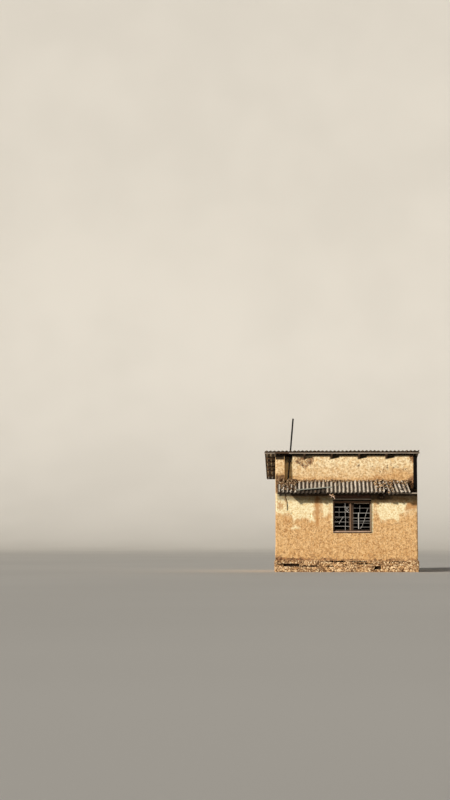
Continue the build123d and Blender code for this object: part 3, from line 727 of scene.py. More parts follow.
def front_fields(points):
    """The front wall's wear, drawn as outlines: whitewash, pale wash, runs, pits and gaps, and dark marks
    that are mostly painted shade.

    Each dark mark is its strength times smooth steps across its edges, and the greatest counts.
    """
    x, z = points[..., 0], points[..., 2]
    flat = np.abs(points[..., 1] - FRONT_Y) < 0.10
    wobble = rough(points, 0.16, 21, 3)
    pier, panel = x < PIER_RIGHT, x > PANEL_LEFT
    limit = np.interp(x, *np.array(OCHRE_LINE).T) + 0.05 * wobble
    high_panel = (0.6 + 0.4 * smooth(3.80, 4.05, z)) * smooth(-0.12, 0.12, z - limit)
    pale = np.maximum.reduce([
        high_panel * smooth(-0.02, 0.02, x - PANEL_LEFT), 0.55 * smooth(3.6, 3.8, z) * pier,
        0.45 * smooth(2.0, 2.3, z) * smooth(3.0, 2.9, z),
    ])
    # Painted shade: the pier's top is dark under the eave.
    pier_top_shade = 0.97 * smooth(4.20, 4.24, z + 0.01 * wobble)
    # The pier is darker between 2.95 m and 3.75 m.
    low_pier = 0.5 * smooth(3.75, 3.55, z) * smooth(2.95, 3.10, z)
    # Masks of painted shade: under the sill, along the right jamb, round the mud wad and under the canopy.
    window = smooth(-0.01, 0.01, x - WINDOW_LEFT) * smooth(0.01, -0.01, x - WINDOW_RIGHT)
    sill = smooth(0.055, 0.02, np.abs(z - WINDOW_BOTTOM + 0.025)) * window
    jamb = smooth(0.050, 0.030, x - WINDOW_RIGHT) * (x > WINDOW_RIGHT - 0.01)
    wad = np.hypot((x - 1.31) / 0.17, (z - 2.83) / 0.15)
    under = smooth(3.18, 3.08, z) * smooth(-2.66, -2.50, x)
    canopy_shade = smooth(2.62, 2.74, z + 0.03 * wobble) * (0.6 + 0.27 * smooth(0.8, 1.0, x) * smooth(1.8, 1.6, x))
    soot = [
        pier_top_shade * pier, low_pier * pier,
        # Painted shade under the eave: deeper at the panel's left end, a band along the panel's top, and over
        # the worn patch at its top left.
        0.55 * smooth(4.28, 4.36, z) * smooth(-1.6, -1.9, x),
        0.97 * smooth(4.330, 4.380, z) * panel,
        0.65 * smooth(4.27, 4.32, z + 0.02 * wobble) * smooth(-1.25, -1.33, x) * panel,
        # Painted shade: a thin line under the sill and a dark line along the window's right jamb.
        0.12 * sill, 0.6 * jamb * smooth(1.44, 1.48, z) * smooth(2.62, 2.58, z),
        # Painted shade in the first crack, below 2.7 m.
        0.85 * smooth(0.030, 0.012, near_line(points, CRACKS[0][0])) * smooth(2.70, 2.60, z),
        # Painted shadow of the mud wads on the wall.
        0.95 * smooth(1.15, 0.85, wad + 0.15 * wobble),
        # Painted shade under the canopy: darkest just below its eave, and lighter painted shade lower down in
        # its shadow.
        0.95 * smooth(2.78, 2.87, z + 0.02 * wobble) * under, canopy_shade * under,
    ]
    # Painted shadows of the rafter tails, falling to the right of each tail.
    for tail in TAILS:
        shade = smooth(-0.05, 0.0, x - tail) * smooth(0.36, 0.31, x - tail)
        soot.append(0.95 * shade * smooth(4.210, 4.250, z - 0.20 * (x - tail) + 0.02 * wobble))
    patch = smooth(-0.05, 0.05, inside(points, PITTED[0][1]) + 0.03 * wobble)
    pits = np.maximum.reduce([share * smooth(-0.05, 0.03, inside(points, area)) for share, area in PITTED])
    wash = 2 * any_of(points, WASHED) + 0.05 * wobble - 0.08 * (x > 1)
    # Recesses: the slot is painted darker towards its top, as shade under the eave; the notch's backing is
    # dark all over.
    recess_dark = np.where(x > 0, 0.85, 0.10 + 0.75 * smooth(4.05, 4.30, z))
    return {
        "wash": np.where(flat, wash, np.where(x > 0, -1, 0.3)),
        "stain": np.where(flat, any_of(points, STAINED) + 0.02 * wobble, -1),
        "bare": np.where(flat, np.maximum(any_of(points, FALLEN) + 0.03 * wobble, 0.288 * patch - 0.28), -1),
        "pale": np.where(flat, pale, 0.9),
        "pits": np.where(flat, pits, 0.2),
        "soot": np.where(flat, np.maximum.reduce(soot), recess_dark),
    }


def plain_fields(points):
    """The same wear on the sides and the back: thin wash high up, runs, and a worn foot."""
    wobble = rough(points, 0.16, 27, 3)
    z = points[..., 2]
    high = smooth(1.6, 3.2, z)
    foot = 0.55 - z + 0.10 * rough(points, 0.5, 31, 3) + 0.03 * wobble
    gone = 0.45 * rough(points, 0.55, 53, 3) - 0.34 + 0.10 * smooth(2.6, 3.8, z)
    return {
        "wash": 0.5 * rough(points, 0.8, 41, 3) - 0.26 + 0.16 * high + 0.04 * wobble,
        "stain": 0.35 * rough(points * (1, 1, 0.10), 0.25, 61, 2) - 0.30 + 0.10 * high,
        "bare": np.maximum(foot, gone),
        "pale": 0.55 * high * smooth(-0.4, 0.5, rough(points, 1.2, 45, 3)),
        "pits": 0.5 * smooth(0.85, 0.55, z) + 0.35 * smooth(0.1, 0.7, rough(points, 0.6, 47, 2)),
        "soot": 0 * z,
    }


def wall(name, grids, keep, fields, nodes, cracks=()):
    """Build one wall from its grids: relief outward along the normal, less where the plaster is gone."""
    outer, inner, normal = grids
    worn = fields(outer)
    gone = smooth(-0.02, 0.04, worn["bare"])
    course = np.abs((outer[..., 2] / 0.105) % 1 - 0.5) * 2
    lost = 0.012 + 0.012 * smooth(0.7, 1.0, course) + 0.008 * rough(outer, 0.09, 5, 3)
    push = undulation(outer) - gone * lost - 0.012 - 0.004 * worn["pits"] * (1 + rough(outer, 0.05, 15, 2))
    for line, half in cracks:
        push = push - 0.05 * smooth(half, 0, near_line(outer, line) + 0.006 * rough(outer, 0.06, 17, 2))
    points, faces = shell(outer + push[..., None] * normal, inner, keep)
    # Inside faces are painted fully dark as indoor shade, with no wash, bare adobe or stain.
    indoors = {"soot": 1.0, "wash": -1.0, "bare": -1.0, "stain": -1.0}
    attributes = {
        key: np.concatenate([value.ravel(), np.full(value.size, indoors.get(key, 0.0))])
        for key, value in worn.items()
    }
    dress(put_mesh(name, points, faces, attributes), PLASTER, "plaster", *nodes)


def front_wall():
    """Front wall in one piece: the window cut through, the mast's slot and the notch sunk to the backing."""
    x = stations(
        FRONT_STEP, LEFT_X, LEFT_X + CORNER, PIER_RIGHT, PIER_RIGHT + HAIR, PANEL_LEFT - HAIR, PANEL_LEFT,
        WINDOW_LEFT, WINDOW_RIGHT, PANEL_RIGHT, PANEL_RIGHT + HAIR, RIGHT_X - CORNER, RIGHT_X,
    )
    marks = (BASE_TOP, WINDOW_BOTTOM, LINTEL_TOP, UPPER_LEVEL, UPPER_LEVEL + HAIR, WALL_TOP_FRONT)
    z = stations(FRONT_STEP, *marks)
    z_in = raised(z, UPPER_LEVEL, WALL_TOP_FRONT, roof_line(INNER_Y))
    grids = wall_points(np.array([LEFT_X, FRONT_Y, 0.0]), (1, 0, 0), (0, 1, 0), x - LEFT_X, z, z_in)
    outer, _, normal = grids
    recess_x = ((x > PIER_RIGHT + HAIR / 2) & (x < PANEL_LEFT - HAIR / 2)) | (x > PANEL_RIGHT + HAIR / 2)
    recess = recess_x[:, None] & (z > UPPER_LEVEL + HAIR / 2)[None, :]
    outer[..., 1] = np.where(recess, RECESS_Y, outer[..., 1])
    normal[recess] = (0, -1, 0)
    outer[..., 2] = np.where(recess & (z == z[-1])[None, :], roof_line(RECESS_Y), outer[..., 2])
    window_x = (middles(x) > WINDOW_LEFT) & (middles(x) < WINDOW_RIGHT)
    window_z = (middles(z) > WINDOW_BOTTOM) & (middles(z) < LINTEL_TOP)
    nodes = [f"front_wall_{place}" for place in ("left", "right", "below_window", "band")]
    nodes += [f"upper_wall_{place}" for place in ("backing", "pier", "panel")]
    wall("front_wall", grids, ~(window_x[:, None] & window_z[None, :]), front_fields, nodes, CRACKS)


def side_wall(name, right):
    """Side wall under the falling roof; the right one stops short of the notch at the front corner."""
    length = BACK_Y - FRONT_Y
    sunk_at = RECESS_Y - FRONT_Y
    t = stations(PLAIN_STEP, 0, CORNER, sunk_at, WALL, length - CORNER, length)
    upper = stations(PLAIN_STEP, UPPER_LEVEL + HAIR, WALL_TOP_FRONT)
    share = np.concatenate([stations(PLAIN_STEP, BASE_TOP, UPPER_LEVEL), upper])
    if right:
        corner, run, inward = np.array([RIGHT_X, FRONT_Y, 0.0]), (0, 1, 0), (-1, 0, 0)
        top = roof_line(FRONT_Y + t)
    else:
        corner, run, inward = np.array([LEFT_X, BACK_Y, 0.0]), (0, -1, 0), (1, 0, 0)
        t = length - t[::-1]
        top = roof_line(BACK_Y - t)
    z = raised(share, UPPER_LEVEL, WALL_TOP_FRONT, top[:, None])
    keep = np.ones((len(t) - 1, len(share) - 1), dtype=bool)
    if right:
        keep &= ~((middles(t) < sunk_at)[:, None] & (share[1:] > UPPER_LEVEL + HAIR / 2)[None, :])
    wall(f"{name}_plaster", wall_points(corner, run, inward, t, z, z), keep, plain_fields, (name,))


def back_wall():
    """Back wall with the doorway cut through."""
    width = RIGHT_X - LEFT_X
    t = stations(PLAIN_STEP, 0, CORNER, RIGHT_X - DOOR_RIGHT, RIGHT_X - DOOR_LEFT, width - CORNER, width)
    lintel_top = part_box("door_lintel")[1][2]
    z = stations(PLAIN_STEP, BASE_TOP, lintel_top, roof_line(BACK_Y))
    z_in = raised(z, lintel_top, roof_line(BACK_Y), roof_line(BACK_Y - WALL))
    grids = wall_points(np.array([RIGHT_X, BACK_Y, 0.0]), (-1, 0, 0), (0, -1, 0), t, z, z_in)
    x = RIGHT_X - middles(t)
    doorway = ((x > DOOR_LEFT) & (x < DOOR_RIGHT))[:, None] & (middles(z) < lintel_top)[None, :]
    nodes = [f"back_wall_{place}" for place in ("left", "right", "above_door")]
    wall("back_wall", grids, ~doorway, plain_fields, nodes)


# Base courses


def block(centre, size, turn, seed):
    """Worn block: a superellipsoid of power 0.28 on a grid of two angles, pushed about by noise.

    A point of it is half the size times cos(b)cos(a), cos(b)sin(a), sin(b), each to that power with its
    sign kept, for a round the block and b from pole to pole.
    """
    around, power = 12, 0.28
    a = angles(around) + pi / around
    b = np.linspace(-pi / 2, pi / 2, 9)[1:-1, None]
    ball = np.stack([np.cos(b) * np.cos(a), np.cos(b) * np.sin(a), np.sin(b) * np.ones(around)], axis=-1)
    rings = np.sign(ball) * np.abs(ball) ** power * size / 2
    rings = rings + 0.007 * noise(rings + centre, 0.05, seed)[..., None] * np.sign(ball)
    if size[0] > size[1]:
        rings = rings @ np.array(Matrix.Rotation(turn, 3, "Y")).T
    return closed_tube(rings + centre)


# Courses: bottom, height, length of a brick, share of bricks in place
COURSES = (
    (0.0, 0.105, 0.24, 0.88), (0.105, 0.11, 0.3, 0.92), (0.215, 0.085, 0.3, 0.95), (0.3, 0.088, 0.14, 0.92),
    (0.388, 0.042, 0.2, 0.85),
)
# Open joints: left, right, level, height; holes: left, right, bottom, top
OPEN_JOINTS = (
    (-0.78, -0.08, 0.388, 0.03), (0.12, 0.35, 0.388, 0.026), (0.4, 0.72, 0.388, 0.026),
    (0.38, 1.02, 0.3, 0.024), (-1.68, -1.06, 0.215, 0.034), (-0.74, -0.5, 0.215, 0.03),
    (-0.25, -0.08, 0.215, 0.03), (-2.62, -2.0, 0.3, 0.026), (1.7, 2.2, 0.388, 0.02),
)
HOLES = (
    (-2.34, -1.74, 0.2, 0.3), (1.02, 1.27, 0.09, 0.21), (1.62, 1.72, 0.12, 0.2), (-1.1, -0.92, 0.02, 0.1),
)
PLAIN_JOINTS = ((0.9, 1.5, 0.388, 0.028), (2.6, 3.0, 0.215, 0.03), (3.3, 3.8, 0.388, 0.024))
PLAIN_HOLES = ((1.9, 2.15, 0.11, 0.21),)


def joint_depth(at, z, joints, holes):
    """How far the mud lies back in the open joints and the holes, by the place along the side and up."""
    depth = np.zeros(np.broadcast(at, z).shape)
    for left, right, level, high in joints:
        along = smooth(-0.03, 0.02, at - left) * smooth(-0.03, 0.02, right - at)
        depth = np.maximum(depth, 0.09 * along * smooth(high, high * 0.4, np.abs(z - level)))
    for left, right, low, high in holes:
        along = smooth(-0.04, 0.03, at - left) * smooth(-0.04, 0.03, right - at)
        hole = 0.11 * along * smooth(-0.02, 0.02, z - low) * smooth(-0.02, 0.02, high - z)
        depth = np.maximum(depth, hole)
    return depth


def base_side(name, corner, run, inward, length, seed, joints, holes):
    """One side of the base: a rough mud core and five courses of worn blocks set into it.

    Every second course runs through to the corner; some blocks are missing, and those beside an open
    joint are worn back from it.
    """
    run, inward = np.asarray(run, float), np.asarray(inward, float)
    random = np.random.default_rng(seed)
    t = stations(0.025, 0, CORNER, length - CORNER, length)
    z = stations(0.0145, 0, BASE_TOP)
    mitred = (name != "base_back_left", name != "base_back_right")
    outer, inner, normal = wall_points(corner, run, inward, t, z, z, WALL + BASE_OUT, mitred)
    along = t[:, None] + 0.03 * rough(outer, 0.2, seed, 2)
    lost = joint_depth(along, z[None, :] + 0.012 * rough(outer, 0.15, seed, 2), joints, holes)
    push = -0.020 + 0.010 * rough(outer, 0.14, seed + 3, 3) - lost
    whole = np.ones((len(t) - 1, len(z) - 1), dtype=bool)
    points, faces = shell(outer + push[..., None] * normal, inner, whole)
    depth = np.concatenate([lost.ravel(), 0 * lost.ravel()])
    dress(put_mesh(f"{name}_mortar", points, faces, {"depth": depth}), MUD, "adobe", name)
    parts, tones = [], []
    for number, (bottom, high, long, share) in enumerate(COURSES):
        margin = 0.09 if (number + seed) % 2 else 0.0
        at = margin
        while at < length - margin - 0.05:
            wide = min(long * random.uniform(0.8, 1.15), length - margin - at)
            middle, low, top = at + wide / 2, bottom + 0.005, bottom + high - 0.005
            for left, right, level, gap in joints:
                if left < middle < right:
                    top = level - gap / 2 if abs(bottom + high - level) < 0.02 else top
                    low = level + gap / 2 if abs(bottom - level) < 0.02 else low
            missing = any(a < middle < b and c < (low + top) / 2 < d for a, b, c, d in holes)
            if random.random() < share and wide > 0.06 and not missing:
                deep = random.uniform(0.09, 0.12)
                sink = 0.004 + min(random.exponential(0.006), 0.02) + deep / 2
                centre = corner + run * middle + inward * sink + (0, 0, (low + top) / 2)
                size = np.abs(run) * (wide - 0.010) + np.abs(inward) * deep + (0, 0, top - low)
                parts.append(block(centre, size, random.normal(0, 0.02), seed))
                tones.append(np.full(len(parts[-1][0]), random.random()))
            at += wide
    points, faces = joined(parts)
    points[:, 2] = np.clip(points[:, 2], 0.0, BASE_TOP + 0.004)
    piece = put_mesh(f"{name}_bricks", points, faces, {"tone": np.concatenate(tones)}, sharp=70)
    dress(piece, BRICK, "adobe")


def base():
    """All five stretches of the base, with the gap at the back door."""
    low_x, high_x = LEFT_X - BASE_OUT, RIGHT_X + BASE_OUT
    low_y, high_y = FRONT_Y - BASE_OUT, BACK_Y + BASE_OUT
    deep = high_y - low_y
    joints, holes = ([(a - low_x, b - low_x, c, d) for a, b, c, d in rows] for rows in (OPEN_JOINTS, HOLES))
    for seed, (side, x, y, run, inward, length, open_joints, missing) in enumerate((
        ("front", low_x, low_y, (1, 0, 0), (0, 1, 0), high_x - low_x, joints, holes),
        ("right", high_x, low_y, (0, 1, 0), (-1, 0, 0), deep, PLAIN_JOINTS, PLAIN_HOLES),
        ("left", low_x, high_y, (0, -1, 0), (1, 0, 0), deep, PLAIN_JOINTS, PLAIN_HOLES),
        ("back_right", high_x, high_y, (-1, 0, 0), (0, -1, 0), high_x - DOOR_RIGHT, PLAIN_JOINTS[:1], ()),
        ("back_left", DOOR_LEFT, high_y, (-1, 0, 0), (0, -1, 0), DOOR_LEFT - low_x, PLAIN_JOINTS[:1], ()),
    ), 11):
        base_side(f"base_{side}", np.array([x, y, 0.0]), run, inward, length, seed, open_joints, missing)


# Corrugated sheets


def slope_axes(pitch, turn=0.0, forward=False):
    """Directions across and down a slope and off it; a turn swings the lower side to the right."""
    way = -1 if forward else 1
    across = np.array([cos(turn), -way * sin(turn) * cos(pitch), sin(turn) * sin(pitch)])
    down = np.array([sin(turn), way * cos(turn) * cos(pitch), -cos(turn) * sin(pitch)])
    return across, down, np.array([0, way * sin(pitch), cos(pitch)])


# The roof's top edge is that of its rafters, and the canopy's is that of its battens
ROOF_AXES = slope_axes(ROOF_PITCH)
(_, ROOF_FRONT, _), (_, ROOF_BACK, ROOF_LEVEL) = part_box("roof_rafters")
ROOF_RUN = (ROOF_BACK - ROOF_FRONT) / cos(ROOF_PITCH)
GAUGE = (ROOF_RUN + 0.025 + 2 * 0.035 - SHEET_LENGTH) / 2
CANOPY_AXES = slope_axes(CANOPY_PITCH, forward=True)
CANOPY_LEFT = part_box("canopy_sheets")[0][0]
CANOPY_START = 0.006 / cos(CANOPY_PITCH)
CANOPY_REACH = 0.790 / cos(CANOPY_PITCH)
CANOPY_SHEET = CANOPY_REACH + 0.039 - CANOPY_START
BROKEN = (5, 7.5)
ASKEW_X, ASKEW_DOWN, ASKEW_TURN, ASKEW_WAVES = 1.4102, 0.1218, radians(8), 5.5


def on_roof(x, along, rise=0.0):
    """Place on the roof: across, down the slope from the rafters' front end, and off them."""
    return (x, ROOF_FRONT, ROOF_LEVEL) + ROOF_AXES[1] * along + ROOF_AXES[2] * rise


def on_canopy(x, along, rise=0.0):
    """Place on the canopy: across, down the slope from the wall, and off the battens."""
    return (x, FRONT_Y, CANOPY_LEVEL) + CANOPY_AXES[1] * along + CANOPY_AXES[2] * rise


def row_places(total, first_cover):
    """First wave and width in waves of each side-lapped sheet along a row."""
    places = []
    first, cover = 0, first_cover
    while first + SIDE_LAP < total:
        places.append((first, min(cover + SIDE_LAP, total - first)))
        first, cover = first + cover, COVER_WAVES
    return places


def sheet_part(origin, axes, place, length, lift, seed, soil, cut=None,
               under_soil_and_shade=0.9, per_wave=16, step=0.06):
    """One corrugated sheet: h/2 (1 - cos(2 pi u)) over u waves, carried down the run, with chipped ends.

    A cut is a test of the places u, v that are missing, with the rows between which it needs fine
    stations, or alone where it needs them all over. Returns points, faces and the point attributes
    valley, tone, lane and soil; the soil value is higher on the underside, for soil and painted shade.
    """
    across, down, up = axes
    first, waves = place
    u = first + np.arange(round(waves * per_wave) + 1) / per_wave
    edge = stations(0.015, 0, 0.09)
    v = np.unique(np.concatenate([edge, stations(step, 0.09, length - 0.09), length - edge[::-1]]).round(5))
    missing, *rows = cut or (None,)
    if rows:
        v = np.unique(np.concatenate([v, stations(0.007, *rows)]).round(5))
    elif missing:
        v = np.unique(np.concatenate([edge, stations(0.0115, 0, length)]).round(4))
    wave = WAVE_HEIGHT / 2 * (1 - np.cos(2 * pi * u))
    flat = u[:, None, None] * WAVE * across + v[None, :, None] * down + origin
    sag = np.minimum(0.003 * rough(flat, 0.6, seed, 2), 0)
    under = flat + (lift + wave[:, None] + sag)[..., None] * up
    over = under + SHEET * up
    chip = rough((flat[:-1, :-1] + flat[1:, 1:]) / 2, 0.05, seed + 5, 3)
    from_end = np.minimum(v[:-1], length - v[1:])[None, :]
    keep = ~((from_end < 0.035) & (chip > 0.42 + from_end * 12))
    if missing:
        keep &= ~missing(middles(u)[:, None], middles(v)[None, :], chip)
    ones = np.ones((len(u), len(v)))
    valley = ((0.5 + 0.5 * np.cos(2 * pi * u))[:, None] * ones).ravel()
    lane = np.stack([u[:, None] * WAVE * ones, v[None, :] * ones, seed * 0.7 * ones], axis=-1).reshape(-1, 3)
    dirt_and_shade = soil(flat).ravel()
    # The underside's soil value is raised: soil and painted shade.
    sides, dirt_and_shade = [over, under], [dirt_and_shade, dirt_and_shade + under_soil_and_shade]
    if np.dot(np.cross(across, down), up) <= 0:
        sides, dirt_and_shade = sides[::-1], dirt_and_shade[::-1]
    points, faces = shell(*sides, keep)
    return points, faces, {
        "valley": np.tile(valley, 2), "tone": np.full(len(points), np.random.default_rng(seed).random()),
        "lane": np.tile(lane, (2, 1)), "soil": np.concatenate(dirt_and_shade),
    }


def sheet_piece(name, parts, *nodes):
    """One piece of several sheets."""
    points, faces = joined(parts)
    attributes = {key: np.concatenate([worn[key] for _, _, worn in parts]) for key in parts[0][2]}
    dress(put_mesh(name, points, faces, attributes, sharp=60), CEMENT, "sheet", *nodes)


def mast_line():
    """Foot and direction of the mast."""
    low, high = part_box("service_mast")
    lean = radians(4.8)
    radius = (high[1] - low[1]) / 2
    foot = np.array([low[0] + radius / cos(lean), (low[1] + high[1]) / 2, low[2]])
    return foot, np.array([sin(lean), 0, cos(lean)])


def roof_sheets():
    """Three courses of lapped sheets on the purlins, numbered from the top one, which the mast pierces."""
    foot, lean = mast_line()
    for number in range(3):
        start = on_roof(ROOF_SHEETS_LEFT, number * GAUGE - ROOF_EAVE)
        lift = PURLIN + 2 * LAP_LIFT * (2 - number)
        parts = []
        for n, place in enumerate(row_places((ROOF_SHEETS_RIGHT - ROOF_SHEETS_LEFT) / WAVE, COVER_WAVES)):
            hole = None
            if number == 0 and n == 0:
                height = ROOF_LEVEL + 0.05 - (foot[1] - ROOF_FRONT) * tan(ROOF_PITCH) - foot[2]
                at = foot + lean * height / lean[2] - start
                x, y = at[0], at @ ROOF_AXES[1]
                hole = (lambda u, v, chip: np.hypot(u * WAVE - x, v - y) < 0.042), y - 0.06, y + 0.06
            parts.append(sheet_part(
                start, ROOF_AXES, place, SHEET_LENGTH, lift + LAP_LIFT * (n % 2), 100 + 10 * number + n,
                lambda p: 0.25 + 0.25 * rough(p, 0.7, 91, 2), hole, under_soil_and_shade=1.25, per_wave=12, step=0.10,
            ))
        sheet_piece(f"roof_course_{number + 1}", parts, f"roof_sheets_{number + 1}")


def canopy_soil_and_shade(points):
    """Earth washed over the canopy: thick at the left end and under the fallen clods at the right; a dark
    band along the eave edge is painted shade.
    """
    x, out = points[..., 0], FRONT_Y - points[..., 1]
    heap = 1.5 * smooth(-1.75, -2.1, x) + 0.55 * smooth(0.9, 1.15, x) * smooth(1.95, 1.6, x)
    patchy = 0.45 + 0.5 * heap + 0.24 * smooth(0.30, 0.05, out) + 0.40 * rough(points, 0.35, 71, 3)
    # The band at the eave edge is painted dark: painted shade.
    return np.clip(patchy, 0, 1.2) + 2.2 * smooth(0.782, 0.800, out)


def canopy_sheets():
    """The canopy's lapped sheets, the second one broken across, and the last one slipped askew."""
    top = on_canopy(CANOPY_LEFT, CANOPY_START)
    first, waves = BROKEN

    def fallen(u, v, chip):
        """Between the crack, which rises to the right, and the strip left at the eave."""
        share, down = (u - first) / waves, v + CANOPY_START
        crack = np.interp(share, (-0.13, 0.5, 1.13), (0.72, 0.655, 0.56)) + 0.02 * chip
        strip = np.interp(share, (0, 0.73), (0.80, 0.82)) + 0.02 * chip
        return (down > crack) & ~((down > strip) & (u - first < 5.4 + 0.3 * chip))

    def darkened_strip(points):
        """The strip left at the eave is darkened, but not its broken ends."""
        along = (points - top) @ CANOPY_AXES[1]
        return canopy_soil_and_shade(points) + 2.2 * smooth(0.66, 0.72, along) * smooth(0.925, 0.915, along)

    worn = (lambda u, v, chip: v > 0.885 + 0.018 * u + 0.03 * chip), 0.84, 0.95
    whole = [
        sheet_part(top, CANOPY_AXES, place, CANOPY_SHEET, LAP_LIFT * (n % 2), 200 + n, canopy_soil_and_shade,
                   None if n else worn)
        for n, place in enumerate(row_places(26.5, 5)) if place != BROKEN
    ]
    torn = sheet_part(top, CANOPY_AXES, BROKEN, CANOPY_SHEET, LAP_LIFT, 207, darkened_strip, (fallen,))
    turned = slope_axes(CANOPY_PITCH, ASKEW_TURN, forward=True)
    corner = on_canopy(ASKEW_X, ASKEW_DOWN)
    askew = sheet_part(corner, turned, (0, ASKEW_WAVES), CANOPY_SHEET, 0, 209, canopy_soil_and_shade)
    # A fragment lying under the break, painted fully dark as shade under the broken sheet.
    low = top + CANOPY_AXES[1] * 0.505
    dropped = sheet_part(low, CANOPY_AXES, (4.9, 8.3), 0.345, -0.0475, 211, lambda p: 2.6 + 0 * p[..., 0],
                         (lambda u, v, chip: v < 0.02 + 0.04 * chip,))
    sheet_piece("canopy_roofing", whole, "canopy_sheets")
    sheet_piece("canopy_broken_roofing", [torn], "canopy_broken_sheet")
    sheet_piece("canopy_slipped_roofing", [askew], "canopy_askew_sheet")
    sheet_piece("canopy_dropped_fragment", [dropped])


# Nails and mast

# Their profiles: radius and height
NAIL = (
    (0.002, -0.004), (0.015, -0.003), (0.016, 0.0005), (0.0095, 0.0015), (0.0085, 0.004), (0.005, 0.0065),
)
SCREW = ((0.004, 0.0), (0.010, 0.0), (0.010, 0.006), (0.008, 0.0075), (0.003, 0.0078))
STUD = ((0.002, -0.002), (0.008, 0.0), (0.007, 0.003), (0.003, 0.005))
KNOB = ((0.004, 0.0), (0.011, 0.0), (0.011, 0.014), (0.007, 0.020), (0.002, 0.021))
ON_CREST = WAVE_HEIGHT + SHEET + 0.001


def purlin_stations():
    """Distances of the purlins down the slope, with the lift of the course on each."""
    lap = SHEET_LENGTH - GAUGE
    stops = []
    for course in range(3):
        start = (2 - course) * GAUGE - ROOF_EAVE
        stops.append((0.030 if course == 2 else start + lap / 2, 2 * LAP_LIFT * course))
        stops.append((start + (SHEET_LENGTH + lap) / 2, 2 * LAP_LIFT * course))
    return stops + [(2 * GAUGE - ROOF_EAVE + SHEET_LENGTH - 0.095, 0)]


def canopy_battens_at():
    """Distances of the three battens down the canopy's slope."""
    first = (0.006 + 0.04 * sin(CANOPY_PITCH)) / cos(CANOPY_PITCH) + 0.03
    return np.linspace(first, CANOPY_REACH - 0.03, 3)


def sheet_nails():
    """Domed nails with washers on every second or third crest over each purlin and batten."""
    random = np.random.default_rng(61)
    parts = []
    for along, lift in purlin_stations():
        n = 1
        while n < 38:
            rise = PURLIN + lift + ON_CREST + (LAP_LIFT if (n // COVER_WAVES) % 2 else 0)
            at = on_roof(ROOF_SHEETS_LEFT + (n + 0.5) * WAVE, along + 0.03, rise)
            parts.append(turned_part(at, ROOF_AXES[2], NAIL))
            n += random.integers(2, 4)
    for along in canopy_battens_at()[::2]:
        for n in (1, 3, 13, 16, 18, 20, 23, 25):
            at = on_canopy(CANOPY_LEFT + (n + 0.5) * WAVE, along, ON_CREST + (LAP_LIFT if n > 18 else 0))
            parts.append(turned_part(at, CANOPY_AXES[2], NAIL))
    dress(put_mesh("sheet_nails", *joined(parts)), MAST_STEEL, "steel")


def mast():
    """The leaning steel pipe with two screwed couplings and a domed cap, and its bolted wall plates."""
    foot, lean = mast_line()
    low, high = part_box("service_mast")
    radius = (high[1] - low[1]) / 2
    length = (high[2] - low[2]) / lean[2] - 0.004
    profile = [(0.98, 0.004), (1, 0.02)]
    for at in (0.55 * length, 0.80 * length):
        profile += [(1, at - 0.03), (1.1, at - 0.028), (1.1, at + 0.028), (1, at + 0.03)]
    profile += [(1, length - 0.02), (0.85, length - 0.006), (0.45, length - 0.001)]
    points, faces = turned_part(foot, lean, [(radius * share, h) for share, h in profile], 28)
    points[:, 2] = np.maximum(points[:, 2], low[2])
    dress(put_mesh("mast_pipe", points, faces, sharp=40), MAST_STEEL, "steel", "service_mast")
    parts = []
    face = RECESS_Y - 0.004
    for level in (3.35, 4.15):
        x = (foot + lean * (level - foot[2]) / lean[2])[0]
        parts.append(beam((x - 0.055, face, level), (x + 0.055, face, level), 0.006, 0.05, 4, wear=0.0003))
        for side in (-0.038, 0.038):
            parts.append(turned_part((x + side, face - 0.003, level), (0, -1, 0), SCREW, 6))
    dress(put_mesh("mast_wall_plates", *joined(parts)), MAST_STEEL, "steel")


# Timbers


def roof_timbers():
    """Rafters with thinned tails, purlins and the fascia's two lengths, as rough-sawn beams."""
    _, down, up = ROOF_AXES
    low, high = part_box("roof_rafters")
    wide, deep = 0.075, 0.140
    rafters = []
    for n, x in enumerate(np.linspace(low[0] + wide / 2, high[0] - wide / 2, 4)):
        start = on_roof(x, 0.008, -deep / 2)
        end = start + down * (ROOF_RUN - 0.009)
        rafters.append(beam(start, end, wide, deep, 300 + n, up=up, tip=(0.226, 0.045)))
    timber("rafters", "old_timber", rafters, "roof_rafters")
    low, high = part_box("roof_purlins")
    purlins = []
    for n, (along, lift) in enumerate(purlin_stations()):
        deep = PURLIN + lift
        ends = (on_roof(x, along, deep / 2) for x in (low[0] + 0.001, high[0] - 0.001))
        purlins.append(beam(*ends, 0.06, deep, 320 + n, up=up))
    timber("purlins", "old_timber", purlins, "roof_purlins")
    low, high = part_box("fascia_board")
    gap = low[0] + 0.410
    y, z, deep = (low[1] + high[1]) / 2, (low[2] + high[2]) / 2, high[2] - low[2]
    lengths = (low[0], gap), (gap + 0.52, high[0])
    boards = [beam((a, y, z), (b, y, z), 0.025, deep, 340 + n) for n, (a, b) in enumerate(lengths)]
    # The fascia's upper half is painted darker: painted shade under the sheets' edge.
    timber("fascia", "grey_timber", boards, "fascia_board", slot="grey_timber", shaded_above=z)


JOISTS = np.linspace(JOISTS_LEFT + 0.03, JOISTS_RIGHT - 0.03, 6)


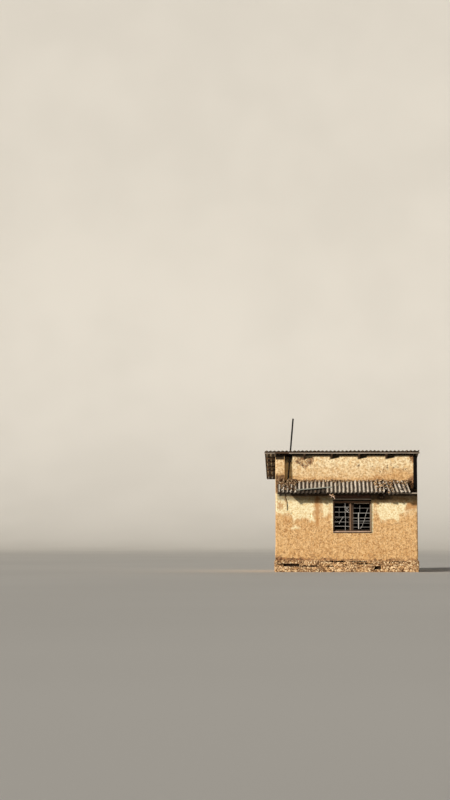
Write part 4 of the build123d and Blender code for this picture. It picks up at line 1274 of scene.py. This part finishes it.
def canopy_timbers():
    """Joists down to the eave, battens across them, a loose lath, and boards under the last sheet."""
    _, down, up = CANOPY_AXES
    bearing = 0.200 / cos(CANOPY_PITCH)
    joists = []
    for n, x in enumerate(JOISTS):
        start = on_canopy(x, -bearing, -0.08)
        joists.append(beam(start, start + down * (bearing + CANOPY_REACH), 0.06, 0.08, 360 + n, up=up))
    # The joists are painted dark as shade under the canopy.
    timber("joists", "shaded_eave_timber", joists, "canopy_joists")
    low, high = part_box("canopy_battens")
    left, seam, right = low[0] + 0.001, high[0] - 0.95, high[0] - 0.001
    stops = canopy_battens_at()
    battens = [
        beam(on_canopy(left, along, -0.02), on_canopy(seam, along, -0.02), 0.06, 0.04, 380 + n, up=up)
        for n, along in enumerate(stops)
    ]
    # The battens are painted dark as shade under the sheets; their sunlit right end keeps the grey timber.
    timber("battens", "shaded_eave_timber", battens, "canopy_battens", slot="grey_timber")
    ends = (on_canopy(x, stops[-1], -0.02) for x in (seam - 0.012, right))
    end = beam(*ends, 0.0595, 0.0395, 384, up=up)
    timber("batten_end", "grey_timber", [end], "canopy_battens", slot="grey_timber")
    rest = WAVE_HEIGHT + SHEET + LAP_LIFT + 0.010
    ends = on_canopy(-1.87, 0.775, rest), on_canopy(-0.55, 0.560, rest)
    lath = beam(*ends, 0.068, 0.020, 386, up=up, wear=0.004)
    timber("canopy_lath", "lichen_timber", [lath], slot="grey_timber")
    boards = [
        beam(on_canopy(1.49, a, -0.03), on_canopy(1.49, b, -0.03), 0.21, 0.020, 388, up=up)
        for a, b in ((0.092, 0.443), (0.510, 0.860))
    ]
    timber("gap_boards", "old_timber", boards)


def hanging_splinter():
    """Split laths that hang from the end of the joist left of the middle, nailed to its side."""
    tip = on_canopy(JOISTS[2], CANOPY_REACH - 0.03, -0.07)
    laths = (
        ((-0.13, 0.005), (0.06, -0.10), 0.045), ((-0.02, 0.01), (0.085, -0.17), 0.032),
        ((0.03, 0.0), (-0.06, -0.12), 0.025),
    )
    parts = []
    for n, (a, b, wide) in enumerate(laths):
        start, end = tip + (a[0], -0.010 * n, a[1]), tip + (b[0], -0.02 - 0.010 * n, b[1])
        parts.append(beam(start, end, 0.006, wide, 7 + n, wear=0.002))
    timber("hanging_splinter", "pale_split", parts, slot="grey_timber")


def lintels_and_post():
    """Window and door lintels of two boards each, and the blackened corner post.

    The lowest 55 mm of the window lintel's front board are a strip of their own, in pale grey.
    """
    for node, seed in (("window_lintel", 400), ("door_lintel", 410)):
        (x0, y0, z0), (x1, y1, z1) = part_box(node)
        split, edge = (y0 + y1) / 2, z0
        if node == "window_lintel":
            edge = z0 + 0.055
            strip = boxed(y0, split, (x0, x1, z0, edge, 0, seed + 2))
            timber("window_lintel_edge", "grey_timber", strip, node)
        boards = boxed(y0, split, (x0, x1, edge, z1, 0, seed))
        boards += boxed(split, y1, (x0, x1, z0, z1, 0, seed + 1))
        timber(f"{node}_boards", "lintel_timber", boards, node)
    (x0, y0, z0), (x1, y1, _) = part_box("corner_post")
    post = boxed(y0, y1, (x0, x1, z0, roof_line(y1), 2, 420))
    timber("notch_post", "dark_timber", post, "corner_post", slot="dark_timber")


# Window and door


def window():
    """Window frame, sashes and sill, member by member.

    The sill is a pale board, 19 mm deep, over an apron painted dark as the shade under it, which reaches as
    far below the solid sill. The darker strip over the frame's pale bottom member and the near-black rebate
    beside the mullion are painted shade.
    """
    (x0, y0, z0), (x1, y1, z1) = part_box("window_frame")
    (a0, a1), (b0, b1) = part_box("window_sash_left"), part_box("window_sash_right")
    face, head, step = 0.045, 0.070, 0.018
    left, right, low, top, tread = x0 + face, x1 - face, z0 + face, z1 - head, z0 + step
    groove = a1[0] + 0.078
    for name, wood, rows in (
        # The darker strip over the frame's pale bottom member is painted shade.
        ("frame_timbers", "window_timber",
         ((groove + 0.024, b0[0], low, top, 2, 432), (left, right, tread, low, 0, 437))),
        ("frame_head", "rail_timber", ((left, right, top, z1, 0, 434),)),
        ("frame_stile", "stile_timber", ((right, x1, z0, z1, 2, 431),)),
        ("frame_worn_timber", "rail_timber", ((a1[0], groove, low, top, 2, 435),)),
        ("frame_bare_timbers", "bare_timber", ((x0, left, z0, z1, 2, 430), (left, right, z0, tread, 0, 433))),
    ):
        timber(name, wood, boxed(y0, y1, *rows), "window_frame", slot="window_timber")
    # The near-black rebate beside the mullion is painted shade.
    rebate = boxed(y0 + 0.02, y1 - 0.02, (groove - 0.006, groove + 0.030, low, top, 2, 436))
    timber("frame_rebate", "dark_timber", rebate, "window_frame", slot="dark_timber")
    rail = 0.035
    for side, ((x0, y0, z0), (x1, y1, z1)), seed in (("left", (a0, a1), 440), ("right", (b0, b1), 450)):
        left, right, node = x0 + rail, x1 - rail, f"window_sash_{side}"
        rails = boxed(
            y0, y1, (x0, left, z0, z1, 2, seed), (right, x1, z0, z1, 2, seed + 1),
            (left, right, z0, z0 + rail, 0, seed + 2), (left, right, z1 - rail, z1, 0, seed + 3),
        )
        if side == "right":
            timber("sash_top_rail_right", "grey_timber", [rails.pop()], node, slot="window_timber")
        timber(f"sash_rails_{side}", "sash_timber", rails, node, slot="window_timber")
    (x0, y0, z0), (x1, y1, z1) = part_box("window_sill")
    board = 0.019
    seam, front = z1 - board, y0 + 0.030
    tread = boxed(y0, y1, (x0, x1, seam, z1, 0, 460))
    timber("sill_board", "bare_timber", tread, "window_sill", slot="grey_timber")
    # The apron is painted dark: painted shade under the sill board.
    under = boxed(front, y1, (x0, x1, z0, seam, 0, 461))
    under += boxed(y0, front, (x0, x1, z0 - board, seam, 0, 462))
    timber("sill_apron", "sill_shade_timber", under, "window_sill", slot="grey_timber")


def bar_path(points, bend, seed, count=20):
    """Points of a bar through given (x, y, z) points, bowed by slow noise of the bend's height."""
    points = np.asarray(points, float)
    run = np.concatenate([[0], np.cumsum(np.linalg.norm(np.diff(points, axis=0), axis=1))])
    t = np.linspace(0, run[-1], count)
    path = np.stack([np.interp(t, run, points[:, k]) for k in range(3)], axis=-1)
    still = np.zeros(count)
    sway = [noise(np.stack([t * 4, still + seed * 1.7, still + k], axis=-1), 1.0, seed) for k in range(3)]
    return path + bend * np.stack(sway, axis=-1) * np.sin(pi * t / run[-1])[:, None] * (1, 0.4, 1)


# The grille's level bars: left, middle and right x, the fall to the right, and each height and radius;
# its other bars: radius, then points in x and z
LEVEL_BARS = (
    (-0.475, -0.044, 0.125, -0.008,
     ((2.434, 0.0065), (2.245, 0.0065), (2.057, 0.0065), (1.875, 0.0065), (1.713, 0.009))),
    (0.245, 0.575, 0.905, 0.0,
     ((2.392, 0.004), (2.204, 0.009), (2.019, 0.008), (1.909, 0.0065), (1.826, 0.004), (1.679, 0.005))),
)
OTHER_BARS = (
    (0.0075, (-0.044, 1.545), (-0.040, 2.1), (-0.048, 2.60)),
    (0.003, (-0.278, 2.057), (-0.270, 2.434)),
    (0.0045, (0.500, 2.20), (0.505, 2.49)),
    (0.0065, (0.805, 2.377), (0.748, 2.226), (0.710, 2.094), (0.673, 1.925), (0.635, 1.830), (0.578, 1.698),
     (0.522, 1.623)),
    (0.007, (-0.120, 2.075), (-0.225, 1.900), (-0.280, 1.800)),
    (0.007, (-0.052, 2.455), (0.010, 2.40), (-0.020, 2.32), (0.060, 2.25)),
    (0.006, (0.100, 2.440), (0.030, 2.39), (0.085, 2.31), (0.005, 2.235)),
    (0.005, (-0.052, 2.300), (0.020, 2.27), (0.095, 2.22)),
)


def grille():
    """Bent grille of thin bars over both lights, with a flat slat, crumpled strips and loose wires."""
    y = FRAME_Y - 0.004
    bars = []
    for left, middle, right, fall, levels in LEVEL_BARS:
        for z, radius in levels:
            line = (left, y, z), (middle, y, z + fall / 3), (right, y, z + fall)
            bars.append(pipe(bar_path(line, 0.0015, len(bars)), radius, 8))
    for k, (radius, *line) in enumerate(OTHER_BARS):
        bars.append(pipe(bar_path([(x, y - 0.009, z) for x, z in line], 0.004, 30 + k), radius, 8))
    slat = [(x, y - 0.012, z) for x, z in ((0.457, 1.611), (0.452, 1.9), (0.459, 2.226))]
    bars.append(pipe(bar_path(slat, 0.004, 50), 0.017, 12, 0.2))
    dress(put_mesh("window_grille", *joined(bars), sharp=60), BAR_STEEL, "steel")


def door():
    """Back door: jambs and head, vertical boards on three ledges, strap hinges, and a ring on a plate."""
    (x0, y0, z0), (x1, y1, z1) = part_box("door_frame")
    (leaf_left, leaf_in, foot), (leaf_right, leaf_out, head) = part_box("door_leaf")
    face, stop, tuck = 0.060, 0.022, 0.002
    a, b, top, split = x0 + face, x1 - face, z1 - face, leaf_out - 0.036
    members = boxed(y0, y1, (x0, a, z0, z1, 2, 470), (b, x1, z0, z1, 2, 471), (a, b, top, z1, 0, 472))
    members += boxed(
        split - stop, split - 0.001, (a - tuck, a + stop, z0, top, 2, 473),
        (b - stop, b + tuck, z0, top, 2, 474), (a + stop, b - stop, top - stop, top + tuck, 0, 475),
    )
    timber("door_surround", "old_timber", members, "door_frame")
    recess_dark = np.linspace(leaf_left, leaf_right, 7)
    lines = enumerate(zip(recess_dark[:-1], recess_dark[1:]))
    boards = boxed(split, leaf_out, *((a + 0.001, b - 0.001, foot, head, 2, 480 + n) for n, (a, b) in lines))
    middle, wide = ((leaf_left + leaf_right) / 2, split + 0.018), leaf_right - leaf_left - 0.002
    ends = (*middle, foot + 0.001), (*middle, head - 0.001)
    boards.append(beam(*ends, wide, 0.012, 479, up=(0, 1, 0), wear=0.0001))
    levels = [z0 + (top - z0) * share / 6 for share in (1, 3, 5)]
    left, right = leaf_left + face, leaf_right - face
    ledges = [(left, right, z - 0.055, z + 0.055, 0, 490 + n) for n, z in enumerate(levels)]
    timber("door_boards", "old_timber", boards + boxed(leaf_in, split, *ledges), "door_leaf")
    out = leaf_out + 0.002
    fittings = []
    for level in (levels[0], levels[2]):
        start, end = (x1 - 0.045, out, level), (leaf_left + 0.16, out, level)
        fittings.append(beam(start, end, 0.005, 0.042, 5, wear=0.0004, tip=(0.5, 0.030)))
        knuckle = [(x1 - 0.052, out + 0.004, level + s) for s in (-0.03, -0.029, 0.029, 0.03)]
        fittings.append(pipe(knuckle, 0.008, 12))
        for x in np.linspace(x1 - 0.10, leaf_left + 0.20, 5):
            fittings.append(turned_part((x, out + 0.0025, level), (0, 1, 0), STUD, 8))
    x, z, radius = leaf_left + 0.09, 1.08, 0.034
    fittings.append(beam((x, out, z - 0.06), (x, out, z + 0.06), 0.05, 0.005, 6, up=(0, 1, 0), wear=0.0004))
    angle = np.linspace(0, 2 * pi, 33) + pi / 2
    ring = [(x + radius * cos(t), out + 0.012, z - 0.03 + radius * sin(t)) for t in angle]
    fittings += [pipe(ring, 0.005, 10), turned_part((x, out + 0.002, z + 0.004), (0, 1, 0), KNOB, 12)]
    dress(put_mesh("door_fittings", *joined(fittings), sharp=40), MAST_STEEL, "steel")


# Rubble and fragments


def fragment(centre, size, seed, around=16, rows=9):
    """Broken lump: a ball cut by random planes and roughened, on a grid of two angles.

    Along each direction the radius is the least of offset / (direction . normal) over the planes, and
    at most 1.
    """
    random = np.random.default_rng(seed)
    normals = random.normal(size=(9, 3))
    normals /= np.linalg.norm(normals, axis=1)[:, None]
    offsets = random.uniform(0.45, 0.85, 9)
    a = angles(around)
    b = np.linspace(-pi / 2, pi / 2, rows)[1:-1, None]
    ball = np.stack([np.cos(b) * np.cos(a), np.cos(b) * np.sin(a), np.sin(b) + 0 * a], axis=-1)
    radius = np.minimum((offsets / np.maximum(ball @ normals.T, 0.05)).min(axis=-1), 1)
    radius = radius * (1 + 0.10 * rough(ball + seed * 1.3, 0.5, seed, 2))
    spin = np.array(Matrix.Rotation(random.uniform(0, 2 * pi), 3, "Z"))
    return closed_tube((ball * radius[..., None] * np.asarray(size) / 2) @ spin.T + centre)


# Heaps: left, right, start and end down the slope, count, least and greatest size
HEAPS = (
    (-2.56, -1.92, 0.00, 0.30, 110, 0.03, 0.11), (-2.46, -1.90, 0.15, 0.75, 120, 0.03, 0.10),
    (1.05, 1.72, 0.00, 0.60, 110, 0.03, 0.12), (1.05, 1.85, 0.45, 0.90, 50, 0.02, 0.08),
    (1.72, 2.36, 0.00, 0.30, 40, 0.03, 0.10), (2.10, 2.36, 0.10, 0.80, 26, 0.02, 0.08),
    (-1.95, 1.05, 0.00, 0.13, 190, 0.02, 0.06), (-1.90, 0.10, 0.00, 0.17, 130, 0.03, 0.075),
    (-1.80, 1.10, 0.10, 0.90, 70, 0.010, 0.035),
)
# Sherds of sheet: left, right, count; clods on the splinters and mud on a joist: x, z, size
SHERDS = ((-2.50, -1.95, 7), (1.10, 1.75, 12), (1.9, 2.3, 3))
CLODS = ((-0.60, 2.92, 0.07), (-0.53, 2.88, 0.06), (-0.48, 2.83, 0.05), (-0.56, 2.86, 0.05))
WADS = ((1.39, 2.93, 0.12), (1.34, 2.88, 0.19), (1.24, 2.87, 0.15), (1.33, 2.79, 0.13), (1.27, 2.80, 0.11))
LEFT_HEAP = -1.8


def on_sheet(x, along, rise):
    """Place on the canopy's sheets, sunk a little where a valley is."""
    rest = WAVE_HEIGHT * (0.5 - 0.5 * cos(2 * pi * (x - CANOPY_LEFT) / WAVE)) * 0.8 + SHEET
    return on_canopy(x, along + 0.02, rest + rise)


def canopy_debris():
    """Earth, clods and sherds of fallen wall and sheets on the canopy, and mud round one of its joists."""
    random = np.random.default_rng(77)
    parts, tones, shards = [], [], []

    def put(centre, size, tone=None):
        fine = (16, 9) if max(size) > 0.06 else (11, 7)
        parts.append(fragment(centre, size, 500 + len(parts), *fine))
        shade = (0.5 if centre[0] < LEFT_HEAP else 0.8) * random.random() ** 1.5
        tones.append(np.full(len(parts[-1][0]), shade if tone is None else tone))

    for left, right, start, stop, count, least, most in HEAPS:
        for n in range(count):
            size = least + (most - least) * random.random() ** 2 * np.array([1.25, 1.0, 0.7])
            x, along = random.uniform(left, right), start + (stop - start) * random.random() ** 1.3
            put(on_sheet(x, along, size[2] * 0.33 + 0.05 * (n / count) * (1 - along / 0.95)), size)
    for left, right, count in SHERDS:
        for _ in range(count):
            size = random.uniform(0.07, 0.16) * np.array([1.0, 0.8, 0.09])
            centre = on_sheet(random.uniform(left, right), random.uniform(0.15, 0.85), 0.05)
            points, faces = fragment(np.zeros(3), size, 900 + len(shards))
            lean = Matrix.Rotation(random.uniform(-0.2, 0.9), 3, "X")
            lean = np.array(lean @ Matrix.Rotation(random.normal(0, 0.4), 3, "Y"))
            shards.append((points @ lean.T + centre, faces))
    for _ in range(40):
        size = random.uniform(0.04, 0.11) * np.array([1.2, 0.5, 1.0])
        z = random.uniform(3.34, 3.50)
        y = FRONT_Y - 0.02 - size[1] * 0.4 - 0.25 * (3.50 - z)
        put(np.array([random.uniform(-2.58, -1.92), y, z]), size)
    put(on_canopy(1.56, 0.91, 0.02), 0.10 * np.array([1.2, 0.8, 1.0]), 0.8)
    for x, z, size in CLODS:
        put(np.array([x, FRONT_Y - 0.77, z]), size * np.array([1.3, 0.7, 1.0]), 1.0)
    wads = [
        fragment(np.array([x, FRONT_Y - 0.50, z]), size * np.array([1.2, 0.9, 1.0]), 1100 + n)
        for n, (x, z, size) in enumerate(WADS)
    ]
    lumps, mud, sherds = joined(parts), joined(wads), joined(shards)
    dull = np.where(lumps[0][:, 0] < LEFT_HEAP, 0.45, 0.2)
    zeros, ones = np.zeros(len(sherds[0])), np.ones(len(sherds[0]))
    worn = {"valley": zeros, "tone": ones, "soil": zeros, "lane": sherds[0]}
    for name, mesh, attributes, material, slot in (
        ("canopy_fragments", lumps, {"tone": np.concatenate(tones), "dull": dull}, BRICK, "adobe"),
        # The mud wads take the full depth, darkest: painted shade.
        ("joist_mud", mud, {"depth": np.ones(len(mud[0]))}, MUD, "adobe"),
        ("canopy_shards", sherds, worn, CEMENT, "sheet"),
    ):
        dress(put_mesh(name, *mesh, attributes, sharp=32), material, slot)


# Studio and camera


def stage():
    """Pale floor that curves up into a backdrop far behind, a low sun from the left front, and soft fill."""
    turn = np.linspace(0, pi / 2, 13)[1:]
    far, bend, top = 150, 45, 130
    y = np.concatenate([[-1500, -300, -60, 0, 60, far], far + bend * np.sin(turn), [far + bend]])
    z = np.concatenate([np.zeros(6), bend * (1 - np.cos(turn)), [top]]) - 0.002
    x = np.array([-1500, -300, -60, 0, 60, 300, 1500.0])
    points = np.stack(np.broadcast_arrays(x[:, None], y[None, :], z[None, :]), axis=-1).reshape(-1, 3)
    floor = put_mesh("studio_floor", points, [grid_faces(len(x), len(y)).reshape(-1, 4)], sharp=80)
    g = Graph("studio_floor")
    tint = g.lay((212, 208, 201), (g.noise(0.06, 2), 0.3, 0.7, 1, (217, 213, 206)))
    floor.data.materials.append(g.finish(tint, 0.95, 0.05))
    world = bpy.data.worlds.new("studio_world")
    bpy.context.scene.world = world
    world.use_nodes = True
    sky = world.node_tree.nodes["Background"]
    sky.inputs[0].default_value = (0.90, 0.94, 1.0, 1)
    sky.inputs[1].default_value = 0.055
    for name, azimuth, elevation, energy, angle, colour in (
        ("key", -46, 16, 4.1, 3.0, (1.0, 0.96, 0.89)), ("fill", 155, 18, 0.75, 50.0, (0.95, 0.97, 1.0)),
    ):
        sun = bpy.data.lights.new(name, "SUN")
        sun.energy, sun.angle, sun.color = energy, radians(angle), colour
        lamp = bpy.data.objects.new(name, sun)
        bpy.context.scene.collection.objects.link(lamp)
        a, b = radians(azimuth), radians(elevation)
        towards = Vector((sin(a) * cos(b), -cos(a) * cos(b), sin(b)))
        lamp.rotation_euler = towards.to_track_quat("Z", "Y").to_euler()


# The photograph's size, focal length, vanishing point and the foot of the front's middle, in pixels
PHOTO_WIDE, PHOTO_HIGH = 450, 800
FOCAL = 1746.0
VANISH_X, VANISH_Y = 295.0, 540.2
BASE_X, BASE_Y = 346.8, 572.0
PER_METRE = 26.5
SENSOR = 36.0


def camera():
    """Tele camera turned so that the house's depth vanishes where the photograph has it.

    The pixel ray (x, y) runs along ((x - 225) / f, (400 - y) / f, -1); the yaw and the pitch bring the
    vanishing ray onto +Y, and the distance sets 26.5 pixels to the metre at the front wall.
    """
    view = bpy.data.cameras.new("camera")
    view.sensor_width = SENSOR
    view.lens = FOCAL / PHOTO_HIGH * SENSOR
    view.clip_end = 3000
    eye = bpy.data.objects.new("camera", view)
    bpy.context.scene.collection.objects.link(eye)
    pitch = atan((VANISH_Y - PHOTO_HIGH / 2) / FOCAL)
    yaw = atan((VANISH_X - PHOTO_WIDE / 2) / FOCAL * cos(pitch))
    turn = Matrix.Rotation(yaw, 3, "Z") @ Matrix.Rotation(pitch, 3, "X") @ Matrix.Rotation(pi / 2, 3, "X")
    ray = turn @ Vector(((BASE_X - PHOTO_WIDE / 2) / FOCAL, (PHOTO_HIGH / 2 - BASE_Y) / FOCAL, -1))
    eye.rotation_euler = turn.to_euler()
    eye.location = Vector((0, FRONT_Y, 0)) - ray * (FOCAL / PER_METRE / ray.y)
    bpy.context.scene.camera = eye


camera()
stage()
front_wall()
side_wall("left_wall", False)
side_wall("right_wall", True)
back_wall()
base()
roof_sheets()
canopy_sheets()
sheet_nails()
roof_timbers()
canopy_timbers()
lintels_and_post()
window()
grille()
door()
mast()
canopy_debris()
hanging_splinter()
for node, material in (("floor_slab", EARTH), ("door_threshold", EARTH), ("mast_clamps", MAST_STEEL)):
    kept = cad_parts[node]
    kept.data.materials.clear()
    kept.data.materials.append(material)

bpy.context.scene.view_settings.view_transform = "Standard"
